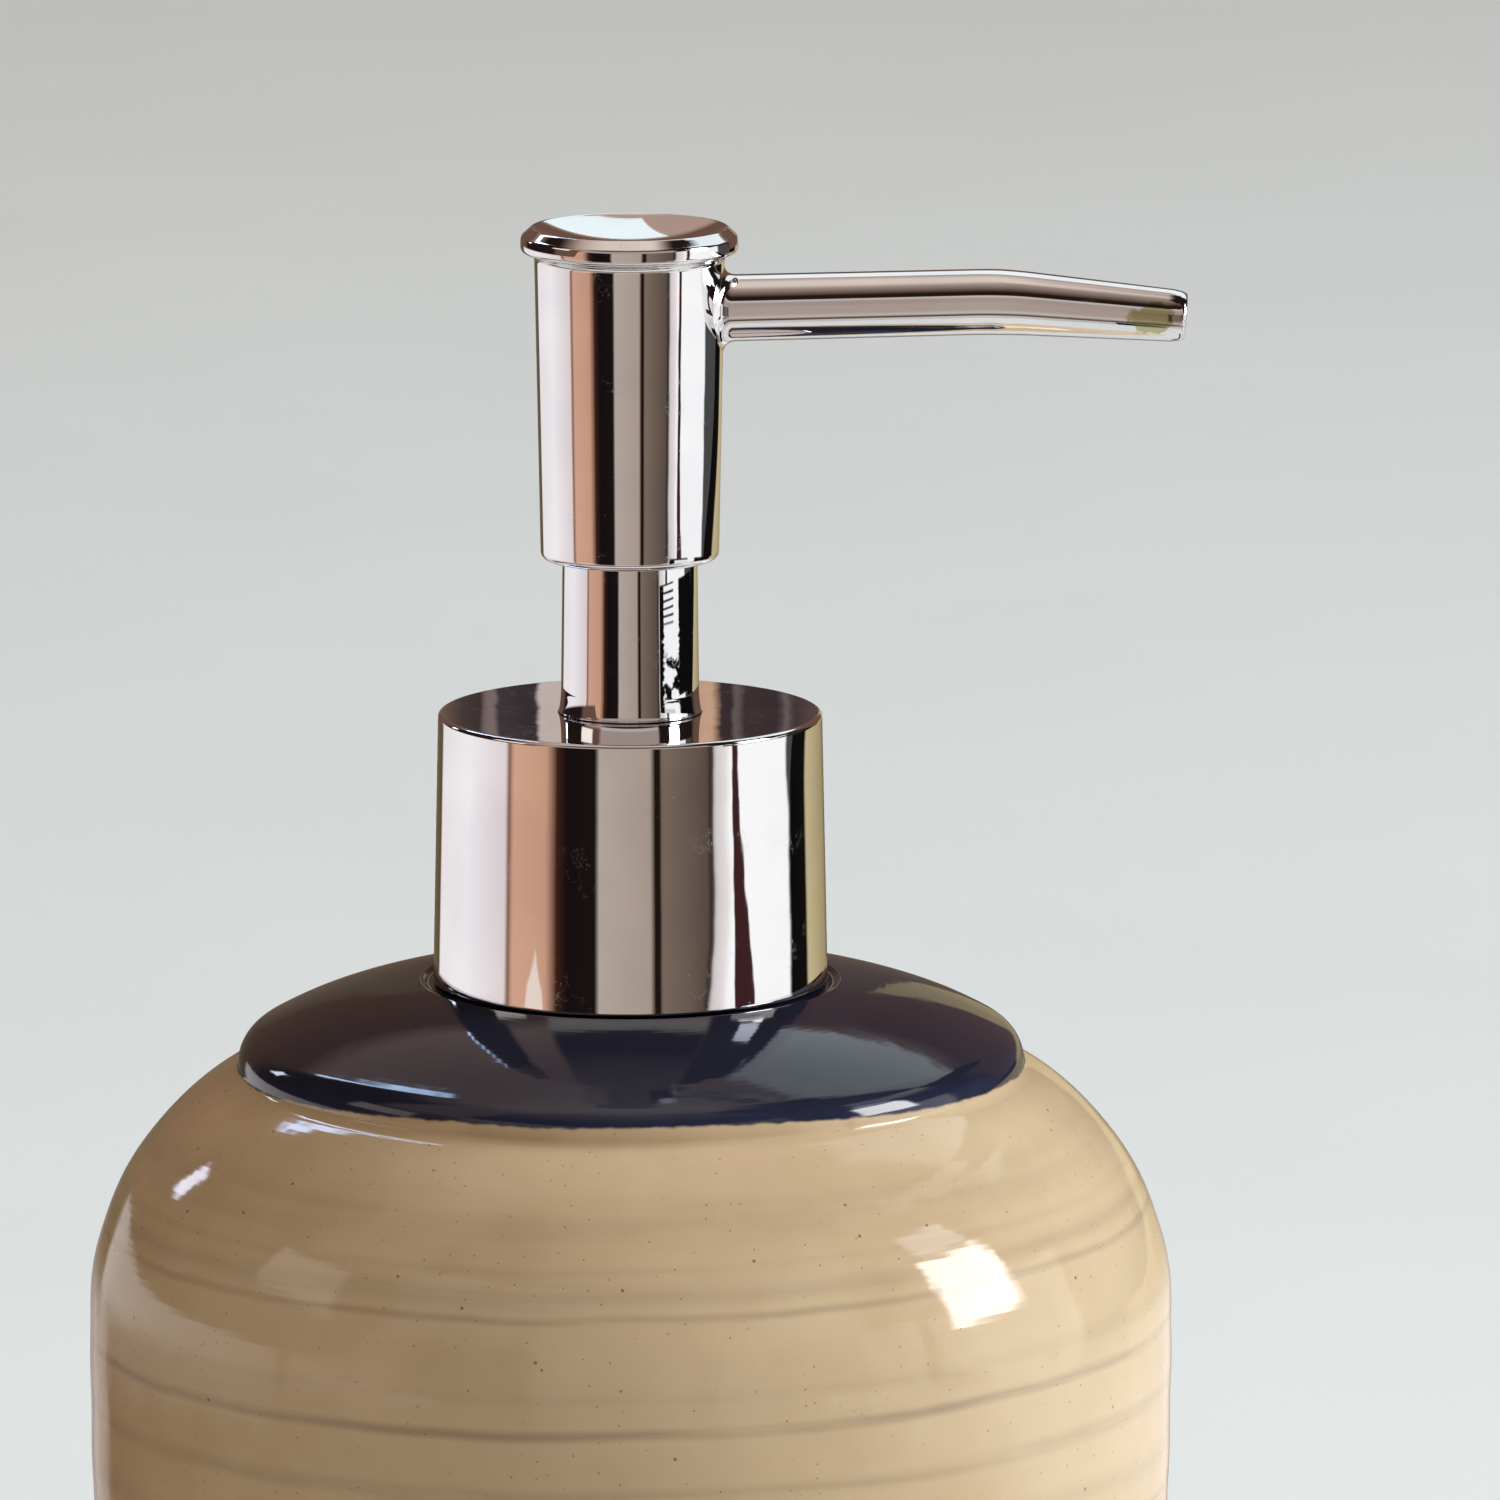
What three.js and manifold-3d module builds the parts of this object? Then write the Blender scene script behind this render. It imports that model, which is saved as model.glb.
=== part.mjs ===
// A soap pump dispenser: a glazed ceramic jar with a chrome-plated lotion pump screwed on its neck.
// Millimetres, +Z up the jar's axis, +X along the spout. The origin is on the table under the jar.
import * as THREE from "three";
import { mergeVertices } from "three/addons/utils/BufferGeometryUtils.js";
import Module from "manifold-3d";

// Jar
const JAR_R = 48.7; // widest radius
const JAR_WIDEST_Z = 82;
const JAR_TAPER = 7.0; // how far the wall would draw in by the table
const TAPER_POWER = 2.2;
const JAR_WALL = 4.95;
const SHOULDER_R = 24.75; // radius of the shoulder's arc
const FLOOR_Z = 6.5;
const FOOT = { inner: 34.5, outer: 39.0, recess: 1.6 };
const TIER = { r: 35.3, foot: 103.45, wallTop: 104.5, edge: 3.1 };
const JAR_TOP_Z = 111.7;
const MOUTH_R = 13.4;
const CEILING_Z = 105.6;

// Neck finish, 28 mm, one start
const NECK = { r: 12.5, bore: 10.4, base: 112.0, top: 130.5, flange: 15.8, flangeThick: 1.6 };
const SPIGOT = { r: 12.3, bottom: 104.5 };
const THREAD = { r: 1.15, pitch: 4.23, turns: 1.75, z: 121.0 };

// Collar
const COLLAR = { top: 136.2, bottom: 112.0, rTop: 17.15, rBottom: 17.65, wall: 0.8, hole: 6.35 };
const COLLAR_PLATE = 0.9;
const COLLAR_EDGE = 0.5;

// Pump
const BARREL = { bore: 6.6, r: 7.7, floor: 86.0 };
const FLANGE = { r: 13.6, bottom: 132.2, top: 133.6 };
const SOCKET = { bore: 3.2, r: 4.6, bottom: 66.0, top: 78.5 };
const DIP_TUBE = { bore: 2.1, r: 2.9, bottom: 9.0, top: 78.2 };
const STEM = { r: 3.6, bore: 2.2, bottom: 119.2, top: 169.4 };
const GAP = 0.3; // between pieces that rest on or in each other
const SLIDE = 0.1; // between pieces that run in each other
const SPRING = { wire: 0.45, r: 4.3, turns: 8 };
const STOP_THICK = 1.1; // disc of the ball stop, which the spring stands on
const ROD = { foot: 113.2, footR: 5.4, web: 1.0, span: 3.6, webBottom: 115.0, webTop: 131.5 };
const INLET_BALL = { r: 2.0, z: 81.0 };
const OUTLET_BALL = { r: 1.6, z: 166.65 };

// Head and spout
const HEAD = { bottom: 150.4, rBottom: 7.95, rTop: 8.45, top: 179.9 };
const LIP_R = 9.7;
const SPOUT_ROOT = new THREE.Vector3(0, 0, 172.4);
const SPOUT_BEND = new THREE.Vector3(33.0, 0, 173.2);
const SPOUT_TIP = new THREE.Vector3(49.4, 0, 171.85);
const SPOUT_R = { root: 3.0, bend: 2.93, tip: 2.3 };
const SPOUT_BORE = 1.8;
const HOLLOW = { rBottom: 7.0, rTop: 7.35, top: 176.3 };
const CHANNEL_R = 1.3; // way through the core from the stem to the spout
const LINER = { r: 1.5, bore: 1.0 };

// Faceting
const ROUND_LARGE = 44;
const ROUND = 32;
const ROUND_SMALL = 20;

const wasm = await Module();
wasm.setup();

const chrome = () => finish(0xd9dadc, 0.06, 1);
const steel = () => finish(0xb8bbbf, 0.25, 1);
const whitePlastic = () => finish(0xefeee8, 0.45, 0);
const clearPlastic = () => finish(0xdfe3e1, 0.3, 0);
const softPlastic = () => finish(0xd8d6cc, 0.7, 0);
const glaze = () => finish(0xcbb391, 0.12, 0);

function finish(color, roughness, metalness) {
  return new THREE.MeshStandardMaterial({ color, roughness, metalness });
}

// A closed solid turned about Z from [radius, z] points, whichever way round they are given.
function turned(profile, segments) {
  let area = 0;
  profile.forEach(([r, z], i) => {
    const [nextR, nextZ] = profile[(i + 1) % profile.length];
    area += r * nextZ - nextR * z;
  });
  const loop = area > 0 ? [...profile] : [...profile].reverse();
  const onAxis = profile[0][0] === 0;
  if (!onAxis) loop.push(loop[0]);
  const points = loop.map(([r, z]) => new THREE.Vector2(r, z));
  return new THREE.LatheGeometry(points, segments).rotateX(Math.PI / 2);
}

// Points of an arc in the profile plane, from one angle to another in degrees.
function arc(centreR, centreZ, radius, from, to, steps) {
  return Array.from({ length: steps + 1 }, (_, i) => {
    const angle = THREE.MathUtils.degToRad(from + ((to - from) * i) / steps);
    return [centreR + radius * Math.cos(angle), centreZ + radius * Math.sin(angle)];
  });
}

// Points of a quadratic curve in the profile plane.
function bend(start, control, end, steps) {
  const [a, b, c] = [start, control, end].map(([r, z]) => new THREE.Vector2(r, z));
  return new THREE.QuadraticBezierCurve(a, b, c).getPoints(steps).map((p) => [p.x, p.y]);
}

// A boolean solid from a closed geometry: only positions, shared vertices, no collapsed faces.
function solid(geometry) {
  const bare = geometry.index ? geometry.toNonIndexed() : geometry.clone();
  bare.deleteAttribute("normal");
  bare.deleteAttribute("uv");
  const merged = mergeVertices(bare, 1e-4);
  const index = merged.index.array;
  const kept = [];
  for (let i = 0; i < index.length; i += 3) {
    const [a, b, c] = [index[i], index[i + 1], index[i + 2]];
    if (a !== b && b !== c && c !== a) kept.push(a, b, c);
  }
  const mesh = new wasm.Mesh({
    numProp: 3,
    vertProperties: merged.attributes.position.array,
    triVerts: new Uint32Array(kept),
  });
  return new wasm.Manifold(mesh);
}

function geometryOf(manifold) {
  const { vertProperties, triVerts } = manifold.getMesh();
  const geometry = new THREE.BufferGeometry();
  geometry.setAttribute("position", new THREE.BufferAttribute(vertProperties, 3));
  geometry.setIndex(new THREE.BufferAttribute(triVerts, 1));
  const faceted = geometry.toNonIndexed();
  faceted.computeVertexNormals();
  return faceted;
}

// A round bar or cone between two points.
function bar(from, to, rFrom, rTo, segments) {
  const along = to.clone().sub(from);
  const geometry = new THREE.CylinderGeometry(rTo, rFrom, along.length(), segments);
  const turn = new THREE.Quaternion().setFromUnitVectors(
    new THREE.Vector3(0, 1, 0),
    along.clone().normalize(),
  );
  const middle = from.clone().add(to).multiplyScalar(0.5);
  return geometry.applyQuaternion(turn).translate(middle.x, middle.y, middle.z);
}

// A round wire wound about Z.
function helix(radius, wire, turns, zFrom, zTo, stepsPerTurn, sides) {
  class Helix extends THREE.Curve {
    getPoint(t, target = new THREE.Vector3()) {
      const angle = 2 * Math.PI * turns * t;
      const z = THREE.MathUtils.lerp(zFrom, zTo, t);
      return target.set(radius * Math.cos(angle), radius * Math.sin(angle), z);
    }
  }
  const section = new THREE.Shape(new THREE.EllipseCurve(0, 0, wire, wire).getPoints(sides).slice(1));
  return new THREE.ExtrudeGeometry(section, {
    steps: Math.round(turns * stepsPerTurn),
    extrudePath: new Helix(),
  });
}

function wallRadius(z) {
  return JAR_R - JAR_TAPER * ((JAR_WIDEST_Z - z) / JAR_WIDEST_Z) ** TAPER_POWER;
}

function wallPoints(zFrom, zTo, inset, steps) {
  return Array.from({ length: steps + 1 }, (_, i) => {
    const z = THREE.MathUtils.lerp(zFrom, zTo, i / steps);
    return [wallRadius(z) - inset, z];
  });
}

// The jar: foot ring, drawn-in wall, round shoulder, raised round-edged tier and open mouth.
function jar() {
  const heelZ = 8;
  const shoulderMid = JAR_R - SHOULDER_R;
  const tierFootAngle = THREE.MathUtils.radToDeg(
    Math.asin((TIER.foot - JAR_WIDEST_Z) / SHOULDER_R),
  );
  const tierFoot = arc(shoulderMid, JAR_WIDEST_Z, SHOULDER_R, tierFootAngle, tierFootAngle, 1)[0];
  const edge = arc(TIER.r - TIER.edge, TIER.wallTop, TIER.edge, 0, 60, 4);
  const outside = [
    [FOOT.outer, 0],
    ...bend([40.2, 0.6], [42.6, 2.2], [wallRadius(heelZ), heelZ], 3),
    ...wallPoints(20, JAR_WIDEST_Z, 0, 4),
    ...arc(shoulderMid, JAR_WIDEST_Z, SHOULDER_R, 8, tierFootAngle, 7),
    ...bend(tierFoot, [TIER.r, 103.95], [TIER.r, TIER.wallTop], 2).slice(1),
    ...edge.slice(1),
    ...bend(edge.at(-1), [27.2, 110.96], [19.5, 112.05], 4).slice(1),
    [18.3, JAR_TOP_Z],
  ];
  const insideR = SHOULDER_R - JAR_WALL;
  const crown = arc(shoulderMid, JAR_WIDEST_Z, insideR, 45, 0, 3);
  const inside = [
    [MOUTH_R, JAR_TOP_Z],
    [MOUTH_R, CEILING_Z],
    ...bend([16.5, CEILING_Z], [28.35, CEILING_Z], crown[0], 3),
    ...crown.slice(1),
    ...wallPoints(60, 18, JAR_WALL, 2),
    ...bend([38.2, 10.5], [37, FLOOR_Z], [31, FLOOR_Z], 2),
  ];
  const underside = [
    [0, FOOT.recess],
    [FOOT.inner - 1.2, FOOT.recess],
    [FOOT.inner, 0],
  ];
  return turned([...underside, ...outside, ...inside, [0, FLOOR_Z]], ROUND_LARGE);
}

function neckCement() {
  const inner = SPIGOT.r + GAP;
  const outer = MOUTH_R - GAP;
  return turned([[inner, 106], [outer, 106], [outer, 111.4], [inner, 111.4]], ROUND);
}

// Plastic insert in the mouth, with the screw neck that the pump goes on.
function neckInsert() {
  const chamfer = 0.5;
  const body = turned(
    [
      [NECK.bore, SPIGOT.bottom],
      [SPIGOT.r - chamfer, SPIGOT.bottom],
      [SPIGOT.r, SPIGOT.bottom + chamfer],
      [SPIGOT.r, NECK.base],
      [NECK.flange, NECK.base],
      [NECK.flange, NECK.base + NECK.flangeThick],
      [NECK.r, NECK.base + NECK.flangeThick],
      [NECK.r, NECK.top - 0.6],
      [NECK.r - 0.6, NECK.top],
      [NECK.bore, NECK.top],
    ],
    ROUND,
  );
  const rise = THREAD.pitch * THREAD.turns;
  const thread = helix(NECK.r + 0.05, THREAD.r, THREAD.turns, THREAD.z, THREAD.z + rise, 12, 6);
  return geometryOf(solid(body).add(solid(thread)));
}

function neckGasket() {
  const bottom = NECK.top + GAP;
  const top = FLANGE.bottom - GAP;
  return turned([[NECK.bore, bottom], [FLANGE.r, bottom], [FLANGE.r, top], [NECK.bore, top]], ROUND);
}

// Threaded cap inside the chrome collar. Its bore is plain, at the neck thread's root.
function closure() {
  return turned(
    [
      [14.1, 114.2],
      [16.4, 114.2],
      [15.95, 135.0],
      [6.4, 135.0],
      [6.4, 133.9],
      [14.1, 133.9],
    ],
    ROUND,
  );
}

function collarShell() {
  const { top, bottom, rTop, rBottom, wall, hole } = COLLAR;
  return turned(
    [
      [rBottom - wall, bottom],
      [rBottom, bottom],
      ...arc(rTop - COLLAR_EDGE, top - COLLAR_EDGE, COLLAR_EDGE, 0, 90, 4),
      [hole, top],
      [hole, top - COLLAR_PLATE],
      [rTop - wall, top - COLLAR_PLATE],
    ],
    ROUND_LARGE,
  );
}

// Flange, plug in the neck, barrel, ball pocket with its seat, and socket for the dip tube.
function pumpHousing() {
  return turned(
    [
      [SOCKET.bore, SOCKET.bottom],
      [SOCKET.r, SOCKET.bottom],
      [SOCKET.r, 79.5],
      [BARREL.r, 84.5],
      [BARREL.r, 123.5],
      [10.0, 127],
      [10.0, FLANGE.bottom],
      [FLANGE.r, FLANGE.bottom],
      [FLANGE.r, FLANGE.top],
      [BARREL.bore, FLANGE.top],
      [BARREL.bore, BARREL.floor],
      [2.5, BARREL.floor],
      [2.5, 80.5],
      [1.5, 79.5],
      [1.5, SOCKET.top],
      [SOCKET.bore, SOCKET.top],
    ],
    ROUND,
  );
}

function ballStop() {
  const seat = BARREL.floor + GAP;
  const ring = turned(
    [
      [1.0, 85.0],
      [2.2, 85.0],
      [2.2, seat],
      [6.2, seat],
      [6.2, seat + STOP_THICK],
      [1.0, seat + STOP_THICK],
    ],
    ROUND_SMALL,
  );
  let stop = solid(ring);
  for (const quarter of [0, Math.PI / 2]) {
    const slot = new THREE.BoxGeometry(8, 0.9, 1.6).rotateZ(quarter).translate(0, 0, 85.1);
    stop = stop.subtract(solid(slot));
  }
  return geometryOf(stop);
}

function dipTube() {
  const { bore, r, bottom, top } = DIP_TUBE;
  const tube = turned([[bore, bottom], [r, bottom], [r, top], [bore, top]], ROUND_SMALL);
  const cutter = new THREE.BoxGeometry(20, 20, 20).rotateY(Math.PI / 6).translate(0, 0, -0.85);
  return geometryOf(solid(tube).subtract(solid(cutter)));
}

// Guide for the stem: a plug in the barrel and a tube up inside the chrome sleeve.
function guideBush() {
  const bore = STEM.r + SLIDE;
  const plug = BARREL.bore - GAP;
  return turned(
    [
      [bore, 125.0],
      [plug, 125.0],
      [plug, 133.4],
      [4.9, 133.4],
      [4.9, 150.6],
      [4.5, 151.0],
      [bore, 151.0],
    ],
    ROUND_SMALL,
  );
}

// The chrome column between collar and head, with a small bead at its foot.
function guideSleeve() {
  return turned(
    [
      [5.2, 133.9],
      [5.95, 133.9],
      [5.95, 136.5],
      [6.6, 136.5],
      [6.7, 136.85],
      [6.6, 137.2],
      [6.28, 137.4],
      [6.0, 152.2],
      [5.8, 152.5],
      [5.2, 152.5],
    ],
    ROUND,
  );
}

function stem() {
  const { r, bore, bottom, top } = STEM;
  return turned(
    [
      [bore, bottom],
      [r, bottom],
      [r, top],
      [bore, top],
      [bore, 166.5],
      [1.2, 165.5],
      [1.2, 164.5],
      [bore, 164.5],
    ],
    ROUND_SMALL,
  );
}

// Two thin lips that wipe the barrel, on a short sleeve round the foot of the stem.
function piston() {
  const lip = BARREL.bore - SLIDE;
  const bore = STEM.r + SLIDE;
  return turned(
    [
      [2.3, 116.0],
      [5.3, 116.0],
      [lip, 115.3],
      [lip, 116.6],
      [5.7, 118.0],
      [5.7, 122.0],
      [lip, 123.4],
      [lip, 124.6],
      [5.2, 123.6],
      [bore, 123.6],
      [bore, 118.9],
      [2.3, 118.9],
    ],
    ROUND_SMALL,
  );
}

// Cross-shaped rod up inside the stem, on the flange that the spring pushes.
function pistonRod() {
  const { foot, footR, web, span, webBottom, webTop } = ROD;
  const base = turned(
    [[0, foot], [footR, foot], [footR, 114.4], [3.4, 114.7], [3.2, 115.7], [0, 115.7]],
    ROUND_SMALL,
  );
  let rod = solid(base);
  for (const quarter of [0, Math.PI / 2]) {
    const blade = new THREE.BoxGeometry(span, web, webTop - webBottom).rotateZ(quarter);
    rod = rod.add(solid(blade.translate(0, 0, (webBottom + webTop) / 2)));
  }
  return geometryOf(rod);
}

function returnSpring() {
  const { wire, r, turns } = SPRING;
  const bottom = BARREL.floor + GAP + STOP_THICK + GAP + wire;
  const top = ROD.foot - GAP - wire;
  return helix(r, wire, turns, bottom, top, 10, 5);
}

function ball({ r, z }) {
  return new THREE.SphereGeometry(r, 14, 8).translate(0, 0, z);
}

// Head outline: round bottom corner, slight draft, hollow under the lip, sloping rim, dished top.
function headOutline() {
  const { bottom, rBottom, rTop, top } = HEAD;
  const corner = 0.85;
  return [
    [0, bottom],
    ...arc(rBottom - corner, bottom + corner, corner, -90, 0, 4),
    ...bend([rTop, 175.6], [rTop, 176.7], [9.05, 177.1], 3),
    ...bend([9.05, 177.1], [LIP_R, 177.5], [LIP_R, 178.4], 3).slice(1),
    ...bend([LIP_R, 178.4], [LIP_R, 178.95], [9.2, 179.35], 3).slice(1),
    [8.35, top],
    ...bend([8.1, top - 0.05], [5.2, 178.0], [0, 178.0], 5),
  ];
}

// Spout with a flare where it leaves the head and a round knee at its bend.
function spoutOutside() {
  const flareStart = new THREE.Vector3(6.8, 0, 172.57);
  const flareEnd = new THREE.Vector3(9.6, 0, 172.63);
  const flare = bar(flareStart, flareEnd, SPOUT_R.root + 1.1, SPOUT_R.root, ROUND_SMALL);
  const inner = bar(SPOUT_ROOT, SPOUT_BEND, SPOUT_R.root, SPOUT_R.bend, ROUND_SMALL);
  const outer = bar(SPOUT_BEND, SPOUT_TIP, SPOUT_R.bend, SPOUT_R.tip, ROUND_SMALL);
  const knee = new THREE.SphereGeometry(SPOUT_R.bend, ROUND_SMALL, 10).rotateX(Math.PI / 2);
  knee.translate(SPOUT_BEND.x, SPOUT_BEND.y, SPOUT_BEND.z);
  return solid(flare).add(solid(inner)).add(solid(outer)).add(solid(knee));
}

function spoutBore() {
  const start = SPOUT_ROOT.clone().lerp(SPOUT_BEND, 0.18);
  const end = SPOUT_BEND.clone().lerp(SPOUT_TIP, 1.1);
  const inner = bar(start, SPOUT_BEND, SPOUT_BORE, SPOUT_BORE, 12);
  const outer = bar(SPOUT_BEND, end, SPOUT_BORE, SPOUT_BORE, 12);
  const knee = new THREE.SphereGeometry(SPOUT_BORE, 12, 8).rotateX(Math.PI / 2);
  knee.translate(SPOUT_BEND.x, SPOUT_BEND.y, SPOUT_BEND.z);
  return solid(inner).add(solid(outer)).add(solid(knee));
}

// The chrome head and spout, one moulding, open underneath and at the spout's tip.
function actuatorShell() {
  const { rBottom, rTop, top } = HOLLOW;
  const below = HEAD.bottom - 1.4;
  const hollow = turned([[0, below], [rBottom, below], [rTop, top], [0, top]], ROUND);
  const outside = solid(turned(headOutline(), ROUND)).add(spoutOutside());
  return geometryOf(outside.subtract(solid(hollow)).subtract(spoutBore()));
}

// Plastic core in the head: socket for the stem, and the way round to the spout.
function actuatorCore() {
  const block = turned(
    [
      [0, 172.6],
      [CHANNEL_R, 172.6],
      [CHANNEL_R, 169.7],
      [3.9, 169.7],
      [3.9, 165.2],
      [4.9, 165.2],
      [4.9, 169.0],
      [7.0, 169.0],
      [7.0, HOLLOW.top - GAP],
      [0, HOLLOW.top - GAP],
    ],
    ROUND,
  );
  const channel = bar(
    new THREE.Vector3(0, 0, 172.4),
    new THREE.Vector3(9, 0, 172.6),
    CHANNEL_R,
    CHANNEL_R,
    20,
  );
  return geometryOf(solid(block).subtract(solid(channel)));
}

function nozzleTube() {
  const circle = (r) => new THREE.EllipseCurve(0, 0, r, r).getPoints(10).slice(1);
  const section = new THREE.Shape(circle(LINER.r));
  section.holes.push(new THREE.Path(circle(LINER.bore)));
  const start = SPOUT_ROOT.clone().lerp(SPOUT_BEND, 0.2235);
  const end = SPOUT_BEND.clone().lerp(SPOUT_TIP, 0.95);
  const route = new THREE.CurvePath();
  route.add(new THREE.LineCurve3(start, SPOUT_BEND));
  route.add(new THREE.LineCurve3(SPOUT_BEND, end));
  return new THREE.ExtrudeGeometry(section, { steps: 6, extrudePath: route });
}

function piece(name, geometry, material) {
  const mesh = new THREE.Mesh(geometry, material);
  mesh.name = name;
  return mesh;
}

const dispenser = new THREE.Group();
dispenser.add(
  piece("jar", jar(), glaze()),
  piece("neck_cement", neckCement(), softPlastic()),
  piece("neck_insert", neckInsert(), whitePlastic()),
  piece("neck_gasket", neckGasket(), softPlastic()),
  piece("closure", closure(), whitePlastic()),
  piece("collar_shell", collarShell(), chrome()),
  piece("pump_housing", pumpHousing(), clearPlastic()),
  piece("ball_stop", ballStop(), whitePlastic()),
  piece("dip_tube", dipTube(), clearPlastic()),
  piece("guide_bush", guideBush(), whitePlastic()),
  piece("guide_sleeve", guideSleeve(), chrome()),
  piece("stem", stem(), whitePlastic()),
  piece("piston", piston(), softPlastic()),
  piece("piston_rod", pistonRod(), whitePlastic()),
  piece("return_spring", returnSpring(), steel()),
  piece("inlet_ball", ball(INLET_BALL), steel()),
  piece("outlet_ball", ball(OUTLET_BALL), steel()),
  piece("actuator_shell", actuatorShell(), chrome()),
  piece("actuator_core", actuatorCore(), whitePlastic()),
  piece("nozzle_tube", nozzleTube(), clearPlastic()),
);

export default dispenser;
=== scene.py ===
"""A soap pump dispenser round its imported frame: glazed jar, chrome pump, and the works inside.

Profiles are in millimetres, as (radius, height) points, and every mesh is made in metres.
"""
import math
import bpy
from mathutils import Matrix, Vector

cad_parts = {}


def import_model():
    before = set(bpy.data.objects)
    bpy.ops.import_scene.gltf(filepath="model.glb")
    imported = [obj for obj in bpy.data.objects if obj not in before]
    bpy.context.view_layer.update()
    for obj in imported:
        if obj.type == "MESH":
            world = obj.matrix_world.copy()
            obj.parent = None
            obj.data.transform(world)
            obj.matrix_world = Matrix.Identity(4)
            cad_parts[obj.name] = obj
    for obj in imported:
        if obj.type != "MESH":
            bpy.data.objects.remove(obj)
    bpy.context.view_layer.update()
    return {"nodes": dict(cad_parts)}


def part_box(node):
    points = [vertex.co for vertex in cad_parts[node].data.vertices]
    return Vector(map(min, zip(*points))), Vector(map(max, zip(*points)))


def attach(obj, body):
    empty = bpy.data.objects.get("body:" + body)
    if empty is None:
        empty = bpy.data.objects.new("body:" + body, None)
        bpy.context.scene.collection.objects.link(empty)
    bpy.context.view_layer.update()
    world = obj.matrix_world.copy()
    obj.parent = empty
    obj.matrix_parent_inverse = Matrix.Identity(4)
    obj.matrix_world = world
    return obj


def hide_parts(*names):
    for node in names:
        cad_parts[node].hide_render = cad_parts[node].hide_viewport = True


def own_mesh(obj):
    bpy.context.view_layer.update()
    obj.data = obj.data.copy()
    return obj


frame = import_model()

from types import SimpleNamespace

import bpy
from mathutils import Vector

MM = 0.001
DEGREES = 180 / math.pi
FINE = 192  # facets round the jar and the collar
ROUND = 128
SMALL = 72
UP = Vector((0, 0, 1))
ON_AXIS = 1e-6  # a radius or length below this counts as none
SHARP = 14  # degrees: a profile that turns less than this is a curve


def extent(node):
    """A node's radius across X, and its limits along Z and X, in millimetres."""
    low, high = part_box(node)
    return SimpleNamespace(
        r=(high[0] - low[0]) / 2 / MM,
        bottom=low[2] / MM,
        top=high[2] / MM,
        right=high[0] / MM,
    )


JAR = extent("jar")
COLLAR = extent("collar_shell")
SLEEVE = extent("guide_sleeve")
HEAD = extent("actuator_shell")
INSERT = extent("neck_insert")
HOUSING = extent("pump_housing")


# ---------------------------------------------------------------- profiles

def arc(centre_r, centre_z, radius, start, end, steps):
    """Points of an arc, from one angle to another in degrees."""
    angles = [math.radians(start + (end - start) * i / steps) for i in range(steps + 1)]
    return [(centre_r + radius * math.cos(a), centre_z + radius * math.sin(a)) for a in angles]


def bend(start, control, end, steps):
    """Points of a quadratic curve."""
    points = []
    for i in range(steps + 1):
        t = i / steps
        a, b, c = (1 - t) ** 2, 2 * t * (1 - t), t * t
        points.append(tuple(a * p + b * q + c * r for p, q, r in zip(start, control, end)))
    return points


def turn_at(a, b, c):
    """How far a line turns at b, in degrees."""
    u, v = (b - a), (c - b)
    if u.length < ON_AXIS or v.length < ON_AXIS:
        return 0.0
    return math.degrees(u.angle(v))


def soften(profile, radius, steps=5):
    """Rounds the sharp corners of a profile that closes on itself, and leaves its curves alone."""
    points = [Vector(p) for p in profile]
    count = len(points)
    rounded = []
    for i, b in enumerate(points):
        a, c = points[i - 1], points[(i + 1) % count]
        if b.x < ON_AXIS or turn_at(a, b, c) < SHARP:
            rounded.append(b)
            continue
        reach = min(radius, 0.45 * (b - a).length, 0.45 * (c - b).length)
        start = b + (a - b).normalized() * reach
        end = b + (c - b).normalized() * reach
        rounded += [Vector(p) for p in bend(start, b, end, steps)]
    return rounded


def supported(points, step=2.0, hold=0.05):
    """Adds points along straight stretches, close to their ends too, so that they shade flat."""
    held = []
    for i, a in enumerate(points):
        b = points[(i + 1) % len(points)]
        length = (b - a).length
        held.append(a)
        if length < 4 * hold or (a.x < ON_AXIS and b.x < ON_AXIS):
            continue
        inner = int(length / step)
        spots = [hold / length]
        spots += [k / (inner + 1) for k in range(1, inner + 1)]
        spots.append(1 - hold / length)
        held += [a.lerp(b, spot) for spot in spots]
    return held


def turned_mesh(profile, segments, shape=None):
    """Vertices and faces of a profile turned about Z. shape moves a point, given its angle too."""
    area = sum(a.x * b.y - b.x * a.y for a, b in zip(profile, profile[1:] + profile[:1]))
    if area < 0:
        profile = profile[::-1]
    vertices, rings = [], []
    for p in profile:
        if p.x < ON_AXIS:
            rings.append([len(vertices)] * segments)
            vertices.append((0.0, 0.0, p.y * MM))
            continue
        rings.append(list(range(len(vertices), len(vertices) + segments)))
        for k in range(segments):
            angle = 2 * math.pi * k / segments
            r, z = shape(p.x, p.y, angle) if shape else (p.x, p.y)
            vertices.append((r * math.cos(angle) * MM, r * math.sin(angle) * MM, z * MM))
    faces = []
    for here, there in zip(rings, rings[1:] + rings[:1]):
        for k in range(segments):
            n = (k + 1) % segments
            corners = [here[k], here[n], there[n], there[k]]
            face = list(dict.fromkeys(corners))
            if len(face) > 2:
                faces.append(face)
    return vertices, faces


def ring_mesh(rings, capped=True, closed=False):
    """Vertices and faces of rings joined one to the next, capped or joined up at the ends."""
    sides = len(rings[0])
    vertices = [tuple(p * MM) for ring in rings for p in ring]
    faces = []
    for i in range(len(rings) if closed else len(rings) - 1):
        a, b = i * sides, (i + 1) % len(rings) * sides
        for k in range(sides):
            n = (k + 1) % sides
            faces.append([a + k, a + n, b + n, b + k])
    if capped:
        last = (len(rings) - 1) * sides
        faces.append(list(range(sides))[::-1])
        faces.append([last + k for k in range(sides)])
    return vertices, faces


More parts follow.
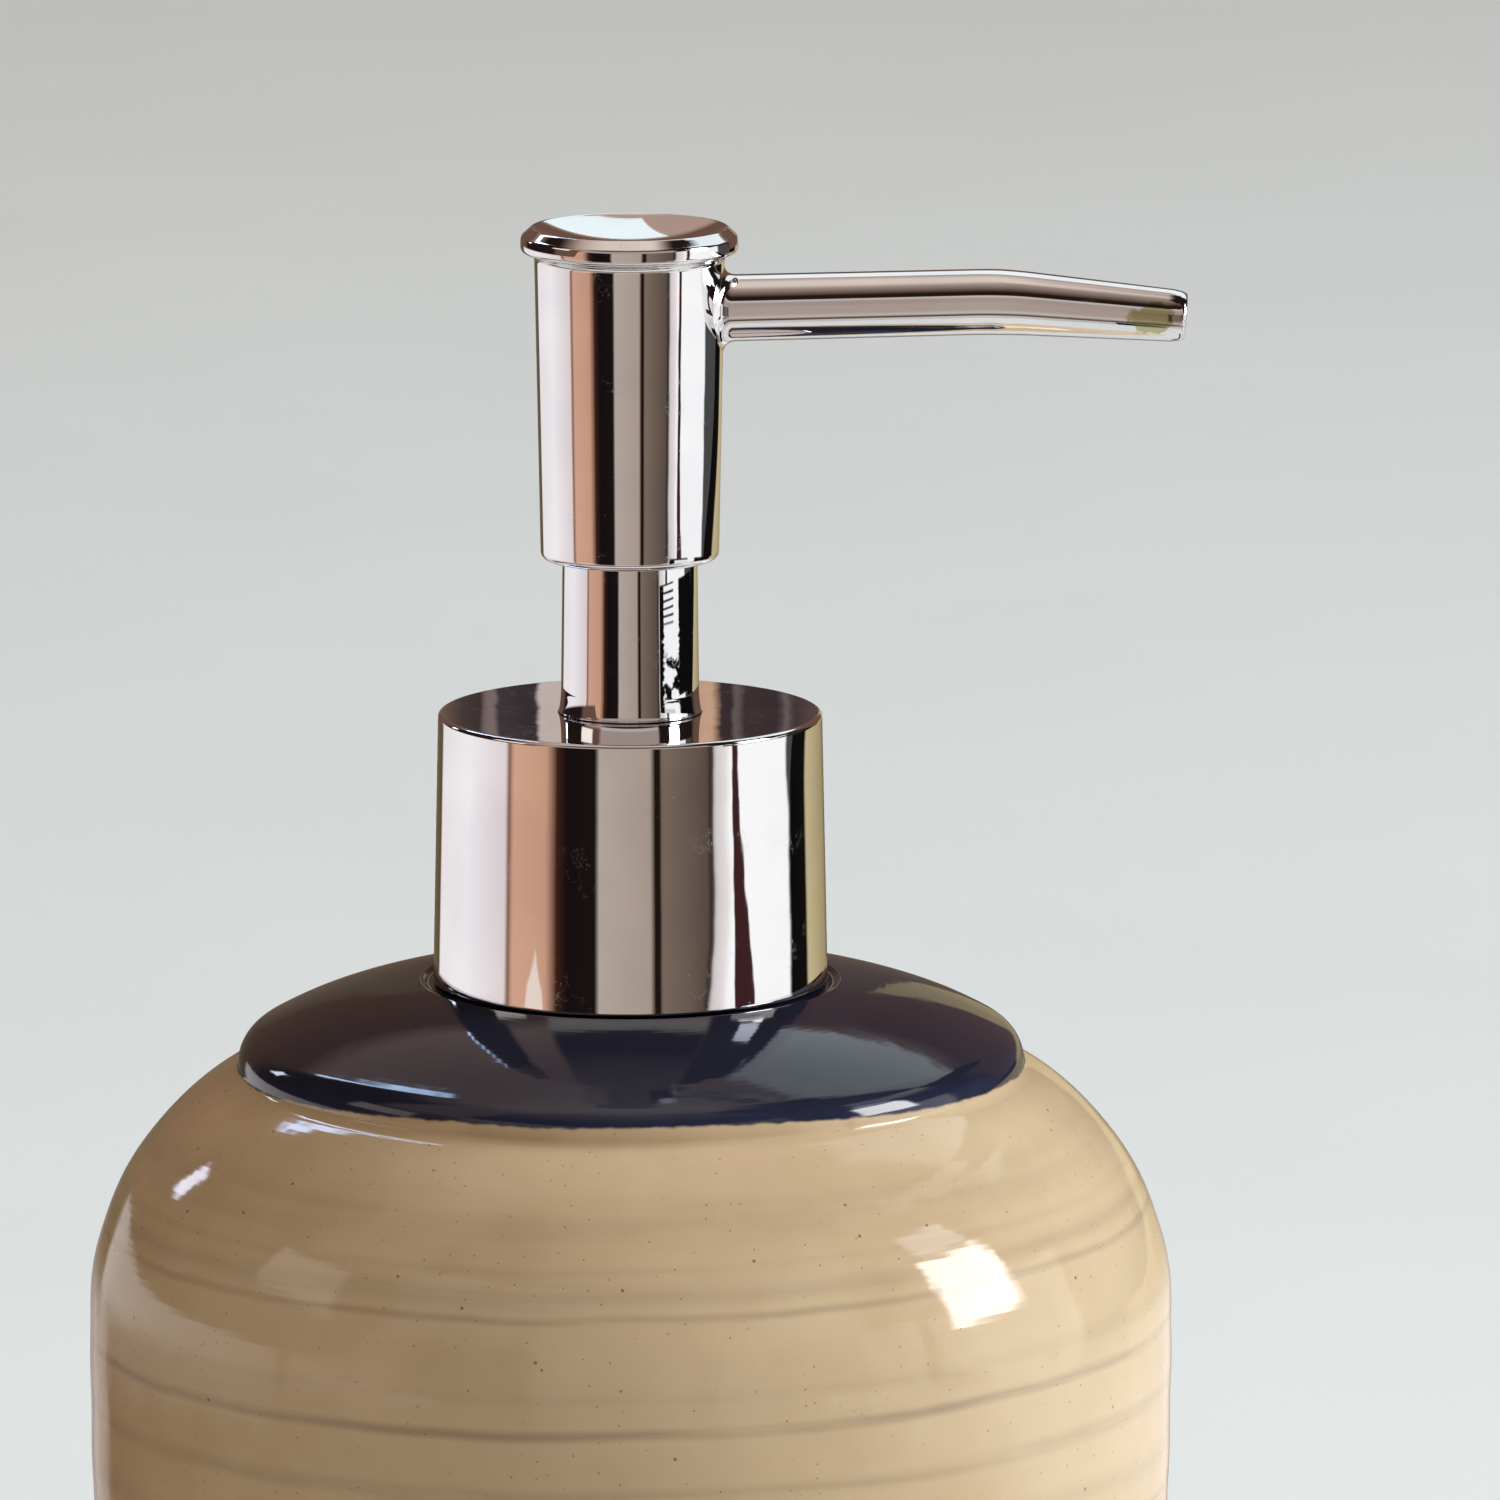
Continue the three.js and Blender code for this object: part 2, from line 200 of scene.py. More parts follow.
def strip_mesh(pairs, closed=False):
    """Vertices and faces of a band, from pairs of points along its two edges."""
    faces = []
    for k in range(len(pairs) if closed else len(pairs) - 1):
        n = (k + 1) % len(pairs)
        faces.append([2 * k, 2 * n, 2 * n + 1, 2 * k + 1])
    return [tuple(p * MM) for pair in pairs for p in pair], faces


def together(mesh, more):
    """Two meshes' vertices and faces as one mesh's."""
    (vertices, faces), (more_vertices, more_faces) = mesh, more
    shifted = [[len(vertices) + v for v in face] for face in more_faces]
    return vertices + more_vertices, faces + shifted


def out_at(angle):
    """The direction away from the axis at an angle from +X."""
    return Vector((math.cos(angle), math.sin(angle), 0))


def wire_ring(angle, coil_r, z, wire_r, sides):
    """Points round a coiled wire where it passes an angle."""
    out = out_at(angle)
    centre = out * coil_r + UP * z
    ring = []
    for k in range(sides):
        a = 2 * math.pi * k / sides
        ring.append(centre + out * math.cos(a) * wire_r - UP * math.sin(a) * wire_r)
    return ring


def piece(name, vertices, faces, body, slot, material, *nodes):
    """A smooth-shaded piece that rides on a body and stands for some CAD nodes."""
    mesh = bpy.data.meshes.new(name)
    mesh.from_pydata(vertices, [], faces)
    mesh.shade_smooth()
    mesh.materials.append(material)
    made = bpy.data.objects.new(name, mesh)
    bpy.context.collection.objects.link(made)
    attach(made, body)
    if nodes:
        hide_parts(*nodes)
    return made


def turned(name, profile, node, body, slot, material, segments=SMALL, corner=0.2, shape=None):
    """A turned piece with softened corners that stands for a CAD node."""
    points = supported(soften(profile, corner))
    vertices, faces = turned_mesh(points, segments, shape)
    return piece(name, vertices, faces, body, slot, material, node)


# ---------------------------------------------------------------- materials

class Shader:
    """A material and short ways to add nodes to it."""

    def __init__(self, name):
        self.material = bpy.data.materials.new(name)
        self.material.use_nodes = True
        self.tree = self.material.node_tree
        self.surface = self.tree.nodes["Principled BSDF"]

    def add(self, kind, inputs=(), **settings):
        node = self.tree.nodes.new(kind)
        for key, value in settings.items():
            setattr(node, key, value)
        for socket, value in dict(inputs).items():
            self.feed(node.inputs[socket], value)
        return node

    def feed(self, socket, value):
        if isinstance(value, bpy.types.NodeSocket):
            self.tree.links.new(value, socket)
        else:
            socket.default_value = value

    def set(self, **values):
        for key, value in values.items():
            self.feed(self.surface.inputs[key.replace("_", " ")], value)

    def place(self):
        """The point on the object, in millimetres."""
        where = self.add("ShaderNodeTexCoord").outputs["Object"]
        scaled = self.add("ShaderNodeVectorMath", {0: where}, operation="SCALE")
        scaled.inputs["Scale"].default_value = 1 / MM
        return scaled.outputs[0]

    def split(self, vector):
        """A vector's x, y and z."""
        return self.add("ShaderNodeSeparateXYZ", {0: vector}).outputs

    def join(self, x, y, z):
        return self.add("ShaderNodeCombineXYZ", {0: x, 1: y, 2: z}).outputs[0]

    def math(self, operation, a, b=0.0, c=0.0):
        return self.add("ShaderNodeMath", {0: a, 1: b, 2: c}, operation=operation).outputs[0]

    def times(self, value, factor):
        return self.math("MULTIPLY", value, factor)

    def minus(self, a, b):
        return self.math("SUBTRACT", a, b)

    def between(self, value, low, rise, fall, high):
        """1 where the value is well inside a range, fading to 0 at both its ends."""
        return self.times(self.ramp(value, low, rise), self.ramp(value, fall, high, 1.0, 0.0))

    def azimuth(self, x, y):
        """Degrees round the axis, from the camera's side towards +X."""
        return self.times(self.math("ARCTAN2", x, self.times(y, -1.0)), DEGREES)

    def noise(self, vector, scale, detail=2.0, roughness=0.5):
        inputs = {"Vector": vector, "Scale": scale, "Detail": detail, "Roughness": roughness}
        return self.add("ShaderNodeTexNoise", inputs).outputs[0]

    def ramp(self, value, low, high, to_low=0.0, to_high=1.0, smooth=True):
        kind = "SMOOTHSTEP" if smooth else "LINEAR"
        inputs = {0: value, 1: low, 2: high, 3: to_low, 4: to_high}
        return self.add("ShaderNodeMapRange", inputs, interpolation_type=kind).outputs[0]

    def mix(self, factor, a, b):
        node = self.add("ShaderNodeMix", data_type="RGBA")
        self.feed(node.inputs[0], factor)
        self.feed(node.inputs[6], a)
        self.feed(node.inputs[7], b)
        return node.outputs[2]

    def bump(self, height, strength, distance):
        inputs = {"Height": height, "Strength": strength, "Distance": distance}
        self.set(Normal=self.add("ShaderNodeBump", inputs).outputs[0])


def rgb(red, green, blue):
    """Linear colour from the eight-bit screen values that people name colours by."""
    def linear(v):
        v /= 255
        return v / 12.92 if v <= 0.04045 else ((v + 0.055) / 1.055) ** 2.4
    return (linear(red), linear(green), linear(blue), 1.0)


# Painted rings: height at the axis, half-width, strength
RINGS = (
    (98.4, 2.4, 0.20),
    (95.0, 0.5, 0.12),
    (92.9, 1.0, 0.26),
    (91.05, 0.45, 0.42),
    (84.4, 0.8, 0.12),
    (81.15, 0.6, 0.60),
    (75.6, 0.9, 0.30),
    (70.0, 1.6, 0.20),
    (66.2, 0.5, 0.50),
    (57.4, 1.0, 0.26),
    (48.0, 0.55, 0.52),
    (45.6, 0.9, 0.22),
    (33.6, 1.2, 0.24),
    (25.0, 0.55, 0.42),
    (14.2, 1.0, 0.22),
)
RING_LEAN = 0.0175  # the rings rise this much in each mm along X
GLAZE_LINE = 104.9  # mean height of the navy glaze's edge
CLAY_LINE = 1.3  # the glaze stops this high above the table
SPECKS = ((0.42, 0.085, 0.5), (0.95, 0.10, 0.35))  # scale, size, share of the cells left empty


def glazed_jar():
    """Beige and navy glaze, iron specks, brushed grey rings, and bare clay at the foot."""
    s = Shader("jar_glaze")
    place = s.place()
    x, y, z = s.split(place)
    round_the_jar = s.join(s.times(x, 0.022), s.times(y, 0.022), 0.0)
    drift = s.minus(s.noise(round_the_jar, 1.6, 3.0), 0.5)
    cloud = s.noise(place, 0.035, 3.0, 0.55)
    mottle = s.noise(place, 0.35, 4.0, 0.6)

    beige = s.mix(s.ramp(cloud, 0.35, 0.7), rgb(203, 171, 134), rgb(190, 156, 118))
    beige = s.mix(s.times(mottle, 0.35), beige, rgb(212, 184, 150))

    # The brushed rings lean a little and swell and fade as they go round
    ring_z = s.minus(z, s.math("MULTIPLY_ADD", drift, 1.5, s.times(x, RING_LEAN)))
    patchy = s.noise(s.join(s.times(x, 0.05), s.times(y, 0.05), z), 0.9, 3.0)
    grey = 0.0
    for height, half_width, strength in RINGS:
        away = s.math("ABSOLUTE", s.minus(ring_z, height))
        band = s.ramp(away, 0.0, half_width * 1.35, strength, 0.0)
        grey = s.math("MAXIMUM", grey, band)
    grey = s.times(grey, s.ramp(patchy, 0.25, 0.65, 0.22, 0.78))
    beige = s.mix(grey, beige, rgb(112, 94, 76))

    # Two sizes of iron speck, only in some cells
    for scale, size, share in SPECKS:
        cells = s.add("ShaderNodeTexVoronoi", {"Vector": place, "Scale": scale})
        chance = s.split(cells.outputs["Color"])[0]
        dot = s.ramp(cells.outputs["Distance"], size * 0.5, size, 1.0, 0.0)
        dot = s.times(dot, s.math("GREATER_THAN", chance, share))
        beige = s.mix(s.times(dot, 0.75), beige, rgb(92, 62, 38))

    # The navy glaze ends on the tier's edge, higher at front and back than at the sides
    across = s.minus(s.times(x, x), s.times(y, y))
    around = s.math("ADD", s.times(x, x), s.times(y, y))
    sway = s.math("DIVIDE", across, s.math("MAXIMUM", around, 1.0))
    line = s.math("MULTIPLY_ADD", sway, -0.72, GLAZE_LINE)
    line = s.math("MULTIPLY_ADD", drift, 1.3, line)
    ragged = s.minus(s.noise(place, 0.55, 3.0), 0.5)
    above = s.minus(z, s.math("MULTIPLY_ADD", ragged, 0.5, line))
    is_navy = s.ramp(above, -0.12, 0.16)
    halo = s.times(s.ramp(above, -2.4, 0.0, 0.0, 0.35), s.ramp(above, 0.0, 0.1, 1.0, 0.0))
    beige = s.mix(halo, beige, rgb(176, 146, 108))

    navy = s.mix(s.ramp(cloud, 0.3, 0.7), rgb(26, 26, 38), rgb(36, 36, 48))
    thin = s.ramp(above, 0.0, 2.2, 0.55, 0.0)
    navy = s.mix(s.times(thin, mottle), navy, rgb(48, 52, 78))
    coat = s.mix(is_navy, beige, navy)

    # Bare clay on the foot ring
    clay_edge = s.math("MULTIPLY_ADD", drift, 0.8, CLAY_LINE)
    is_clay = s.ramp(s.minus(z, clay_edge), -0.1, 0.1, 1.0, 0.0)
    grit = s.noise(place, 3.0, 4.0, 0.7)
    clay = s.mix(grit, rgb(196, 160, 122), rgb(164, 124, 90))
    colour = s.mix(is_clay, coat, clay)

    gloss = s.ramp(mottle, 0.3, 0.7, 0.045, 0.085)
    rough = s.math("MULTIPLY_ADD", is_clay, 0.75, gloss)
    s.set(Base_Color=colour, Roughness=rough, IOR=1.52)
    ripple = s.noise(place, 0.16, 2.0)
    height = s.math("ADD", ripple, s.times(mottle, 0.06))
    height = s.math("MULTIPLY_ADD", s.times(grit, is_clay), 0.5, height)
    s.bump(height, 0.35, 0.0002)
    return s.material


WORN_SPOT = Vector((HEAD.right - 3.2, -2.0, 172.0))


def chrome(name, worn=False):
    """Bright plating with a trace of waviness, fine scratches and dust."""
    s = Shader(name)
    place = s.place()
    x, y, z = s.split(place)
    wave = s.noise(place, 0.11, 2.0)
    strokes = s.join(s.times(x, 3.0), s.times(y, 3.0), s.times(z, 0.25))
    scratch = s.ramp(s.noise(strokes, 2.2, 4.0, 0.7), 0.62, 0.78)
    dust = s.add("ShaderNodeTexVoronoi", {"Vector": place, "Scale": 0.9})
    lonely = s.math("GREATER_THAN", s.split(dust.outputs["Color"])[1], 0.86)
    fleck = s.times(s.ramp(dust.outputs["Distance"], 0.03, 0.07, 1.0, 0.0), lonely)
    tone = s.mix(s.ramp(wave, 0.35, 0.65), rgb(236, 235, 236), rgb(229, 228, 231))
    tone = s.mix(s.times(fleck, 0.5), tone, rgb(250, 250, 250))
    tangle = s.noise(place, 0.55, 5.0, 0.62)
    hair = s.ramp(s.math("ABSOLUTE", s.minus(tangle, 0.5)), 0.0018, 0.005, 1.0, 0.0)
    hair = s.times(hair, s.ramp(s.noise(place, 0.21, 2.0), 0.54, 0.64))
    rough = s.math("MULTIPLY_ADD", scratch, 0.06, 0.02)
    rough = s.math("MULTIPLY_ADD", hair, 0.22, rough)
    rough = s.math("MULTIPLY_ADD", fleck, 0.4, rough)
    if worn:
        # Plating rubbed through near the spout's tip, on one side
        near = s.add("ShaderNodeVectorMath", {0: place, 1: WORN_SPOT}, operation="SUBTRACT").outputs[0]
        squashed = s.add("ShaderNodeVectorMath", {0: near, 1: (0.62, 0.9, 1.0)}, operation="MULTIPLY")
        far = s.add("ShaderNodeVectorMath", {0: squashed.outputs[0]}, operation="LENGTH").outputs[1]
        ragged = s.math("MULTIPLY_ADD", s.noise(place, 1.1, 3.0), 1.4, far)
        rub = s.ramp(ragged, 1.95, 2.15, 0.85, 0.0)
        tone = s.mix(rub, tone, rgb(176, 172, 118))
        rough = s.math("MULTIPLY_ADD", rub, 0.12, rough)
    s.set(Base_Color=tone, Metallic=1.0, Roughness=rough)
    s.bump(wave, 0.04, 0.0003)
    return s.material


def moulded(name, colour, shade, rough, transmission=0.0):
    """Moulded plastic or rubber, with faint flow marks and a fine texture."""
    s = Shader(name)
    place = s.place()
    flow = s.noise(place, 0.12, 3.0)
    grain = s.noise(place, 4.0, 3.0, 0.6)
    s.set(Base_Color=s.mix(s.ramp(flow, 0.3, 0.7), colour, shade))
    s.set(Roughness=s.ramp(grain, 0.3, 0.7, rough * 0.85, rough * 1.15))
    s.set(IOR=1.49, Transmission_Weight=transmission)
    s.bump(grain, 0.12, 0.00008)
    return s.material


def drawn_steel():
    """Steel wire and balls, with drawing marks."""
    s = Shader("drawn_steel")
    place = s.place()
    marks = s.noise(place, 2.5, 4.0, 0.7)
    s.set(Base_Color=s.mix(marks, rgb(176, 178, 182), rgb(206, 207, 210)), Metallic=1.0)
    s.set(Roughness=s.ramp(marks, 0.3, 0.7, 0.16, 0.3))
    s.bump(marks, 0.15, 0.00005)
    return s.material


GLAZE = glazed_jar()
CHROME = chrome("bright_chrome")
WORN_CHROME = chrome("bright_chrome_worn", worn=True)
WHITE = moulded("white_plastic", rgb(238, 236, 228), rgb(228, 226, 216), 0.4)
NATURAL = moulded("natural_plastic", rgb(240, 240, 234), rgb(230, 231, 224), 0.34, 0.22)
SEAL = moulded("soft_seal", rgb(214, 210, 198), rgb(196, 192, 180), 0.62)
STEEL = drawn_steel()


# ---------------------------------------------------------------- the jar

SHOULDER_R = 24.75
WIDEST_Z = 82.0
TAPER, TAPER_POWER = 7.0, 2.2
WALL = 4.95
FLOOR_Z = 6.5
FOOT_RECESS = 1.6
TIER_R, TIER_FOOT, TIER_WALL_TOP, TIER_EDGE = 35.3, 103.45, 104.5, 3.1
TIER_HOLLOW = 103.95  # the shoulder bends up into the tier's wall here
JAR_TOP, MOUTH_R, CEILING_Z = 111.7, 13.4, 105.6


def wall_points(start, end, inset, steps):
    """Points up the jar's tapering wall, or inside it by an inset."""
    points = []
    for i in range(steps + 1):
        z = start + (end - start) * i / steps
        drawn = TAPER * ((WIDEST_Z - z) / WIDEST_Z) ** TAPER_POWER
        points.append((JAR.r - drawn - inset, z))
    return points


def jar_profile():
    mid = JAR.r - SHOULDER_R
    foot_angle = math.degrees(math.asin((TIER_FOOT - WIDEST_Z) / SHOULDER_R))
    shoulder = arc(mid, WIDEST_Z, SHOULDER_R, 1.5, foot_angle, 40)
    edge = arc(TIER_R - TIER_EDGE, TIER_WALL_TOP, TIER_EDGE, 0, 60, 20)
    crown = arc(mid, WIDEST_Z, SHOULDER_R - WALL, 45, 0, 16)
    outside = [
        (33.3, FOOT_RECESS),
        (34.5, 0.0),
        (39.0, 0.0),
        *bend((40.2, 0.6), (42.6, 2.2), wall_points(8, 8, 0, 1)[0], 14),
        *wall_points(10, WIDEST_Z, 0, 36),
        *shoulder,
        *bend(shoulder[-1], (TIER_R, TIER_HOLLOW), (TIER_R, TIER_WALL_TOP), 10)[1:],
        *edge[1:],
        *bend(edge[-1], (27.2, 110.9), (18.75, 112.0), 24)[1:],
        (18.3, JAR_TOP),
    ]
    inside = [
        (MOUTH_R, JAR_TOP),
        (MOUTH_R, CEILING_Z),
        *bend((16.5, CEILING_Z), (28.35, CEILING_Z), crown[0], 16),
        *crown[1:],
        *wall_points(78, 16, WALL, 16),
        *bend((38.2, 10.5), (37, FLOOR_Z), (31, FLOOR_Z), 10),
    ]
    return [(0.0, FOOT_RECESS), *outside, *inside, (0.0, FLOOR_Z)]


def hand_made(r, z, angle):
    """The slight unevenness of a jar shaped by hand, fading out towards the mouth and the foot."""
    calm = min(1.0, max(0.0, (r - 19.0) / 12.0)) * min(1.0, z / 12.0)
    sway = 0.10 * math.sin(2 * angle + 0.6) + 0.05 * math.sin(3 * angle + 2.1 + z * 0.05)
    ridge = 0.035 * math.sin(z * 0.75 + 0.8 * math.sin(angle))
    lift = 0.12 * math.sin(2 * angle + 1.3) + 0.07 * math.sin(5 * angle + 0.4)
    return r + calm * (sway + ridge - 0.15), z + calm * lift * min(1.0, max(0.0, (z - 90) / 12))


turned("jar_body", jar_profile(), "jar", "jar", "glazed_jar", GLAZE, FINE, 0.55, hand_made)


# ---------------------------------------------------------------- collar and column

def collar_profile():
    top_r = COLLAR.r - 0.5
    wall, plate, hole, edge = 0.8, 0.9, 6.35, 0.42
    return [
        (COLLAR.r - wall, COLLAR.bottom),
        (COLLAR.r, COLLAR.bottom),
        *arc(top_r - edge, COLLAR.top - edge, edge, 2, 88, 10),
        (hole, COLLAR.top),
        (hole, COLLAR.top - plate),
        (top_r - wall, COLLAR.top - plate),
    ]


def sleeve_profile():
    """The column: slightly tapered, flared at its foot to a thin flange."""
    foot = COLLAR.top + 0.03
    flange_r, body_r, bore, root_r, rim = 6.4, 6.16, 5.2, 5.95, 0.09
    return [
        (bore, SLEEVE.bottom),
        (root_r, SLEEVE.bottom),
        (root_r, foot),
        *arc(flange_r - rim, foot + 0.1, rim, -80, 70, 8),
        *bend((flange_r - 0.03, foot + 0.2), (body_r + 0.05, foot + 0.75), (body_r, foot + 1.9), 14),
        (5.98, SLEEVE.top - 0.3),
        (5.8, SLEEVE.top),
        (bore, SLEEVE.top),
    ]


turned("collar_cup", collar_profile(), "collar_shell", "collar", "chrome_plate", CHROME, FINE, 0.14)
turned("column", sleeve_profile(), "guide_sleeve", "pump_body", "chrome_plate", CHROME, ROUND, 0.12)


# ---------------------------------------------------------------- head and spout

HEAD_R_LOW, HEAD_R_HIGH, LIP_R = 7.95, 8.45, 9.7
HEAD_FOOT = HEAD.bottom - 0.3
LIP_FOOT = 176.9
LIP = ((9.05, 177.62), (LIP_R - 0.03, 178.08), (LIP_R - 0.07, 178.98), (LIP_R - 0.26, 179.24))
DISH = 1.95  # how deep the top is dished
SPOUT_ROOT = Vector((0.0, 0.0, 172.4))
SPOUT_BEND = Vector((33.0, 0.0, 173.2))
SPOUT_TIP = Vector((49.4, 0.0, 171.85))
SPOUT_R = (3.0, 2.93, 2.3)  # at the root, the bend and the tip
SPOUT_KNEE = (SPOUT_BEND - SPOUT_ROOT).length  # distances along the spout start at the root
SPOUT_LENGTH = SPOUT_KNEE + (SPOUT_TIP - SPOUT_BEND).length
SPOUT_BORE = 1.8
SPOUT_SIDES = 96
SPOUT_LEAVES = 8.0  # about where the spout comes out of the head


def head_outside():
    """The head's outside, from the bottom edge up to the middle of the dished top."""
    top = HEAD.top
    corner = 0.7
    under, low, high, crest = LIP
    return [
        *arc(HEAD_R_LOW - corner, HEAD_FOOT + corner, corner, -88, 0, 12),
        *bend((HEAD_R_HIGH, LIP_FOOT), (HEAD_R_HIGH + 0.02, 177.4), under, 14),
        *bend(under, (LIP_R - 0.1, 177.7), low, 14)[1:],
        *bend(low, (LIP_R + 0.01, 178.55), high, 14)[1:],
        *bend(high, (LIP_R - 0.1, 179.14), crest, 8)[1:],
        (8.88, top - 0.14),
        (8.7, top),
        (8.52, top - 0.06),
        *bend((8.4, top - 0.14), (4.8, top - DISH), (0.0, top - DISH), 28),
    ]


def head_profile():
    ceiling = 176.3
    inside = [(0.0, ceiling), (7.35, ceiling), (7.0, HEAD_FOOT)]
    return [*inside, *head_outside()]


def head_radius(z):
    """The head's radius at a height, from its outside profile below the lip."""
    below = [p for p in head_outside() if p[1] <= LIP_FOOT]
    for (r0, z0), (r1, z1) in zip(below, below[1:]):
        if z0 <= z <= z1:
            return r0 + (r1 - r0) * (z - z0) / max(ON_AXIS, z1 - z0)
    return below[-1][0]


def spout_line(distance):
    """A point on the spout's middle line and its direction; the knee is eased over a few mm."""
    ease = 2.6
    past_knee = distance - SPOUT_KNEE
    a, b = (SPOUT_BEND - SPOUT_ROOT).normalized(), (SPOUT_TIP - SPOUT_BEND).normalized()
    if past_knee <= -ease:
        return SPOUT_ROOT + a * distance, a
    if past_knee >= ease:
        return SPOUT_BEND + b * past_knee, b
    t = (past_knee + ease) / (2 * ease)
    start, end = SPOUT_BEND - a * ease, SPOUT_BEND + b * ease
    point = start * (1 - t) ** 2 + SPOUT_BEND * 2 * t * (1 - t) + end * t * t
    return point, (a * (1 - t) + b * t).normalized()


def spout_section(distance, radius):
    """A ring of points round the spout's middle line."""
    centre, along = spout_line(distance)
    side, up = Vector((0, 1, 0)), Vector((-along.z, 0, along.x))
    ring = []
    for k in range(SPOUT_SIDES):
        angle = 2 * math.pi * k / SPOUT_SIDES
        ring.append(centre + (side * math.cos(angle) + up * math.sin(angle)) * radius)
    return ring


def spout_radius(distance):
    root, knee, tip = SPOUT_R
    if distance < SPOUT_KNEE:
        return root + (knee - root) * distance / SPOUT_KNEE
    past = (distance - SPOUT_KNEE) / (SPOUT_LENGTH - SPOUT_KNEE)
    return knee + (tip - knee) * min(1.0, past)


def on_head(y, z, inset=0.03):
    """The point of the head's front at a place, sunk a little into it."""
    r = head_radius(z) - inset
    return Vector((math.sqrt(max(0.0, r * r - y * y)), y, z))


def root_fillet(steps=12, flare=1.15):
    """Rings that run from the head's surface to the spout, tangent to both."""
    rings = [[] for _ in range(steps + 1)]
    mid_z = spout_line(SPOUT_LEAVES)[0].z
    pull = flare * 0.62

    def on_root(angle, reach):
        return on_head(reach * math.cos(angle), mid_z + reach * math.sin(angle))

    for k in range(SPOUT_SIDES):
        angle = 2 * math.pi * k / SPOUT_SIDES
        start = on_root(angle, SPOUT_R[0] + flare)
        inward = on_root(angle, SPOUT_R[0] + flare - 0.05) - start
        distance = on_root(angle, SPOUT_R[0]).x + flare
        end = spout_section(distance, spout_radius(distance))[k]
        along = spout_line(distance)[1]
        near = start + inward.normalized() * pull
        far = end - along * pull
        for i in range(steps + 1):
            t = i / steps
            a, b, c, d = (1 - t) ** 3, 3 * t * (1 - t) ** 2, 3 * t * t * (1 - t), t ** 3
            rings[i].append(start * a + near * b + far * c + end * d)
    return rings


def spout_rings():
    """All rings of the spout: fillet, outside, rounded tip, and back along the bore."""
    rings = root_fillet()
    outside_start, corner, bore_end = 10.4, 1.15, 8.0
    steps, corner_steps, bore_steps = 64, 8, 30
    for i in range(steps + 1):
        distance = outside_start + (SPOUT_LENGTH - corner - outside_start) * i / steps
        rings.append(spout_section(distance, spout_radius(distance)))
    for i in range(1, corner_steps + 1):
        angle = math.pi / 2 * i / corner_steps
        distance = SPOUT_LENGTH - corner + corner * math.sin(angle)
        radius = SPOUT_R[2] + (SPOUT_BORE + 0.08 - SPOUT_R[2]) * (1 - math.cos(angle))
        rings.append(spout_section(distance, radius))
    rings.append(spout_section(SPOUT_LENGTH - 0.02, SPOUT_BORE + 0.03))
    rings.append(spout_section(SPOUT_LENGTH - 0.1, SPOUT_BORE))
    bore_start = SPOUT_LENGTH - 0.3
    for i in range(bore_steps + 1):
        distance = bore_start - (bore_start - bore_end) * i / bore_steps
        rings.append(spout_section(distance, SPOUT_BORE))
    return rings


def head_and_spout():
    head = turned_mesh(supported(soften(head_profile(), 0.1)), FINE)
    vertices, faces = together(head, ring_mesh(spout_rings()))
    piece("head_and_spout", vertices, faces, "head", "chrome_plate", WORN_CHROME, "actuator_shell")


def nozzle_liner():
    """The tube inside the spout: out along its outside and back along its bore."""
    start, end, outer, inner = 7.4, 48.6, 1.5, 1.0
    steps = 40
    rings = []
    for radius, first, last in ((outer, start, end), (inner, end, start)):
        for i in range(steps + 1):
            rings.append(spout_section(first + (last - first) * i / steps, radius))
    vertices, faces = ring_mesh(rings, capped=False, closed=True)
    piece("spout_liner", vertices, faces, "head", "natural_plastic", NATURAL, "nozzle_tube")


head_and_spout()
nozzle_liner()


# ---------------------------------------------------------------- neck and closure

NECK_BORE = 10.4
CEMENT_BORE, CEMENT_FOOT = 12.6, 106.0


def plain_ring(inner, outer, bottom, top):
    return [(inner, bottom), (outer, bottom), (outer, top), (inner, top)]


def screw_thread(radius, crest, bottom, pitch, turns):
    """A round-crested thread whose ends run out into the neck."""
    rings = []
    steps = int(turns * 72)
    for i in range(steps + 1):
        t = i / steps
        angle = 2 * math.pi * turns * t
        fade = min(1.0, t * turns * 8, (1 - t) * turns * 8)
        size = crest * (0.3 + 0.7 * fade)
        sunk = radius - crest * 0.7 * (1 - fade)
        rings.append(wire_ring(angle, sunk, bottom + pitch * turns * t, size, 20))
    return ring_mesh(rings)


def neck_insert():
    r, base, flange, thick = 12.5, 112.0, INSERT.r, 1.6
    spigot = r - 0.2
    profile = [
        (NECK_BORE, INSERT.bottom),
        (spigot - 0.5, INSERT.bottom),
        (spigot, INSERT.bottom + 0.5),
        (spigot, base),
        (flange, base),
        (flange, base + thick),
        (r, base + thick),
        (r, INSERT.top - 0.6),
        (r - 0.6, INSERT.top),
        (NECK_BORE, INSERT.top),
    ]
    neck = turned_mesh(supported(soften(profile, 0.25)), ROUND)
    thread = screw_thread(r + 0.05, crest=1.15, bottom=121.0, pitch=4.23, turns=1.75)
    vertices, faces = together(neck, thread)
    piece("neck_finish", vertices, faces, "jar", "white_plastic", WHITE, "neck_insert")


neck_insert()

CEMENT = extent("neck_cement")
cement_ring = plain_ring(CEMENT_BORE, CEMENT.r, CEMENT_FOOT, CEMENT.top)
turned("mouth_cement", cement_ring, "neck_cement", "jar", "soft_seal", SEAL, ROUND, 0.12)
GASKET = extent("neck_gasket")
gasket_ring = plain_ring(NECK_BORE, GASKET.r, GASKET.bottom, GASKET.top)
turned("washer", gasket_ring, "neck_gasket", "gasket", "soft_seal", SEAL, ROUND, 0.18)

CLOSURE_FOOT, CLOSURE_TOP, CLOSURE_R = 114.2, 135.0, 16.4
RIBS, RIB_DEPTH = 48, 0.22


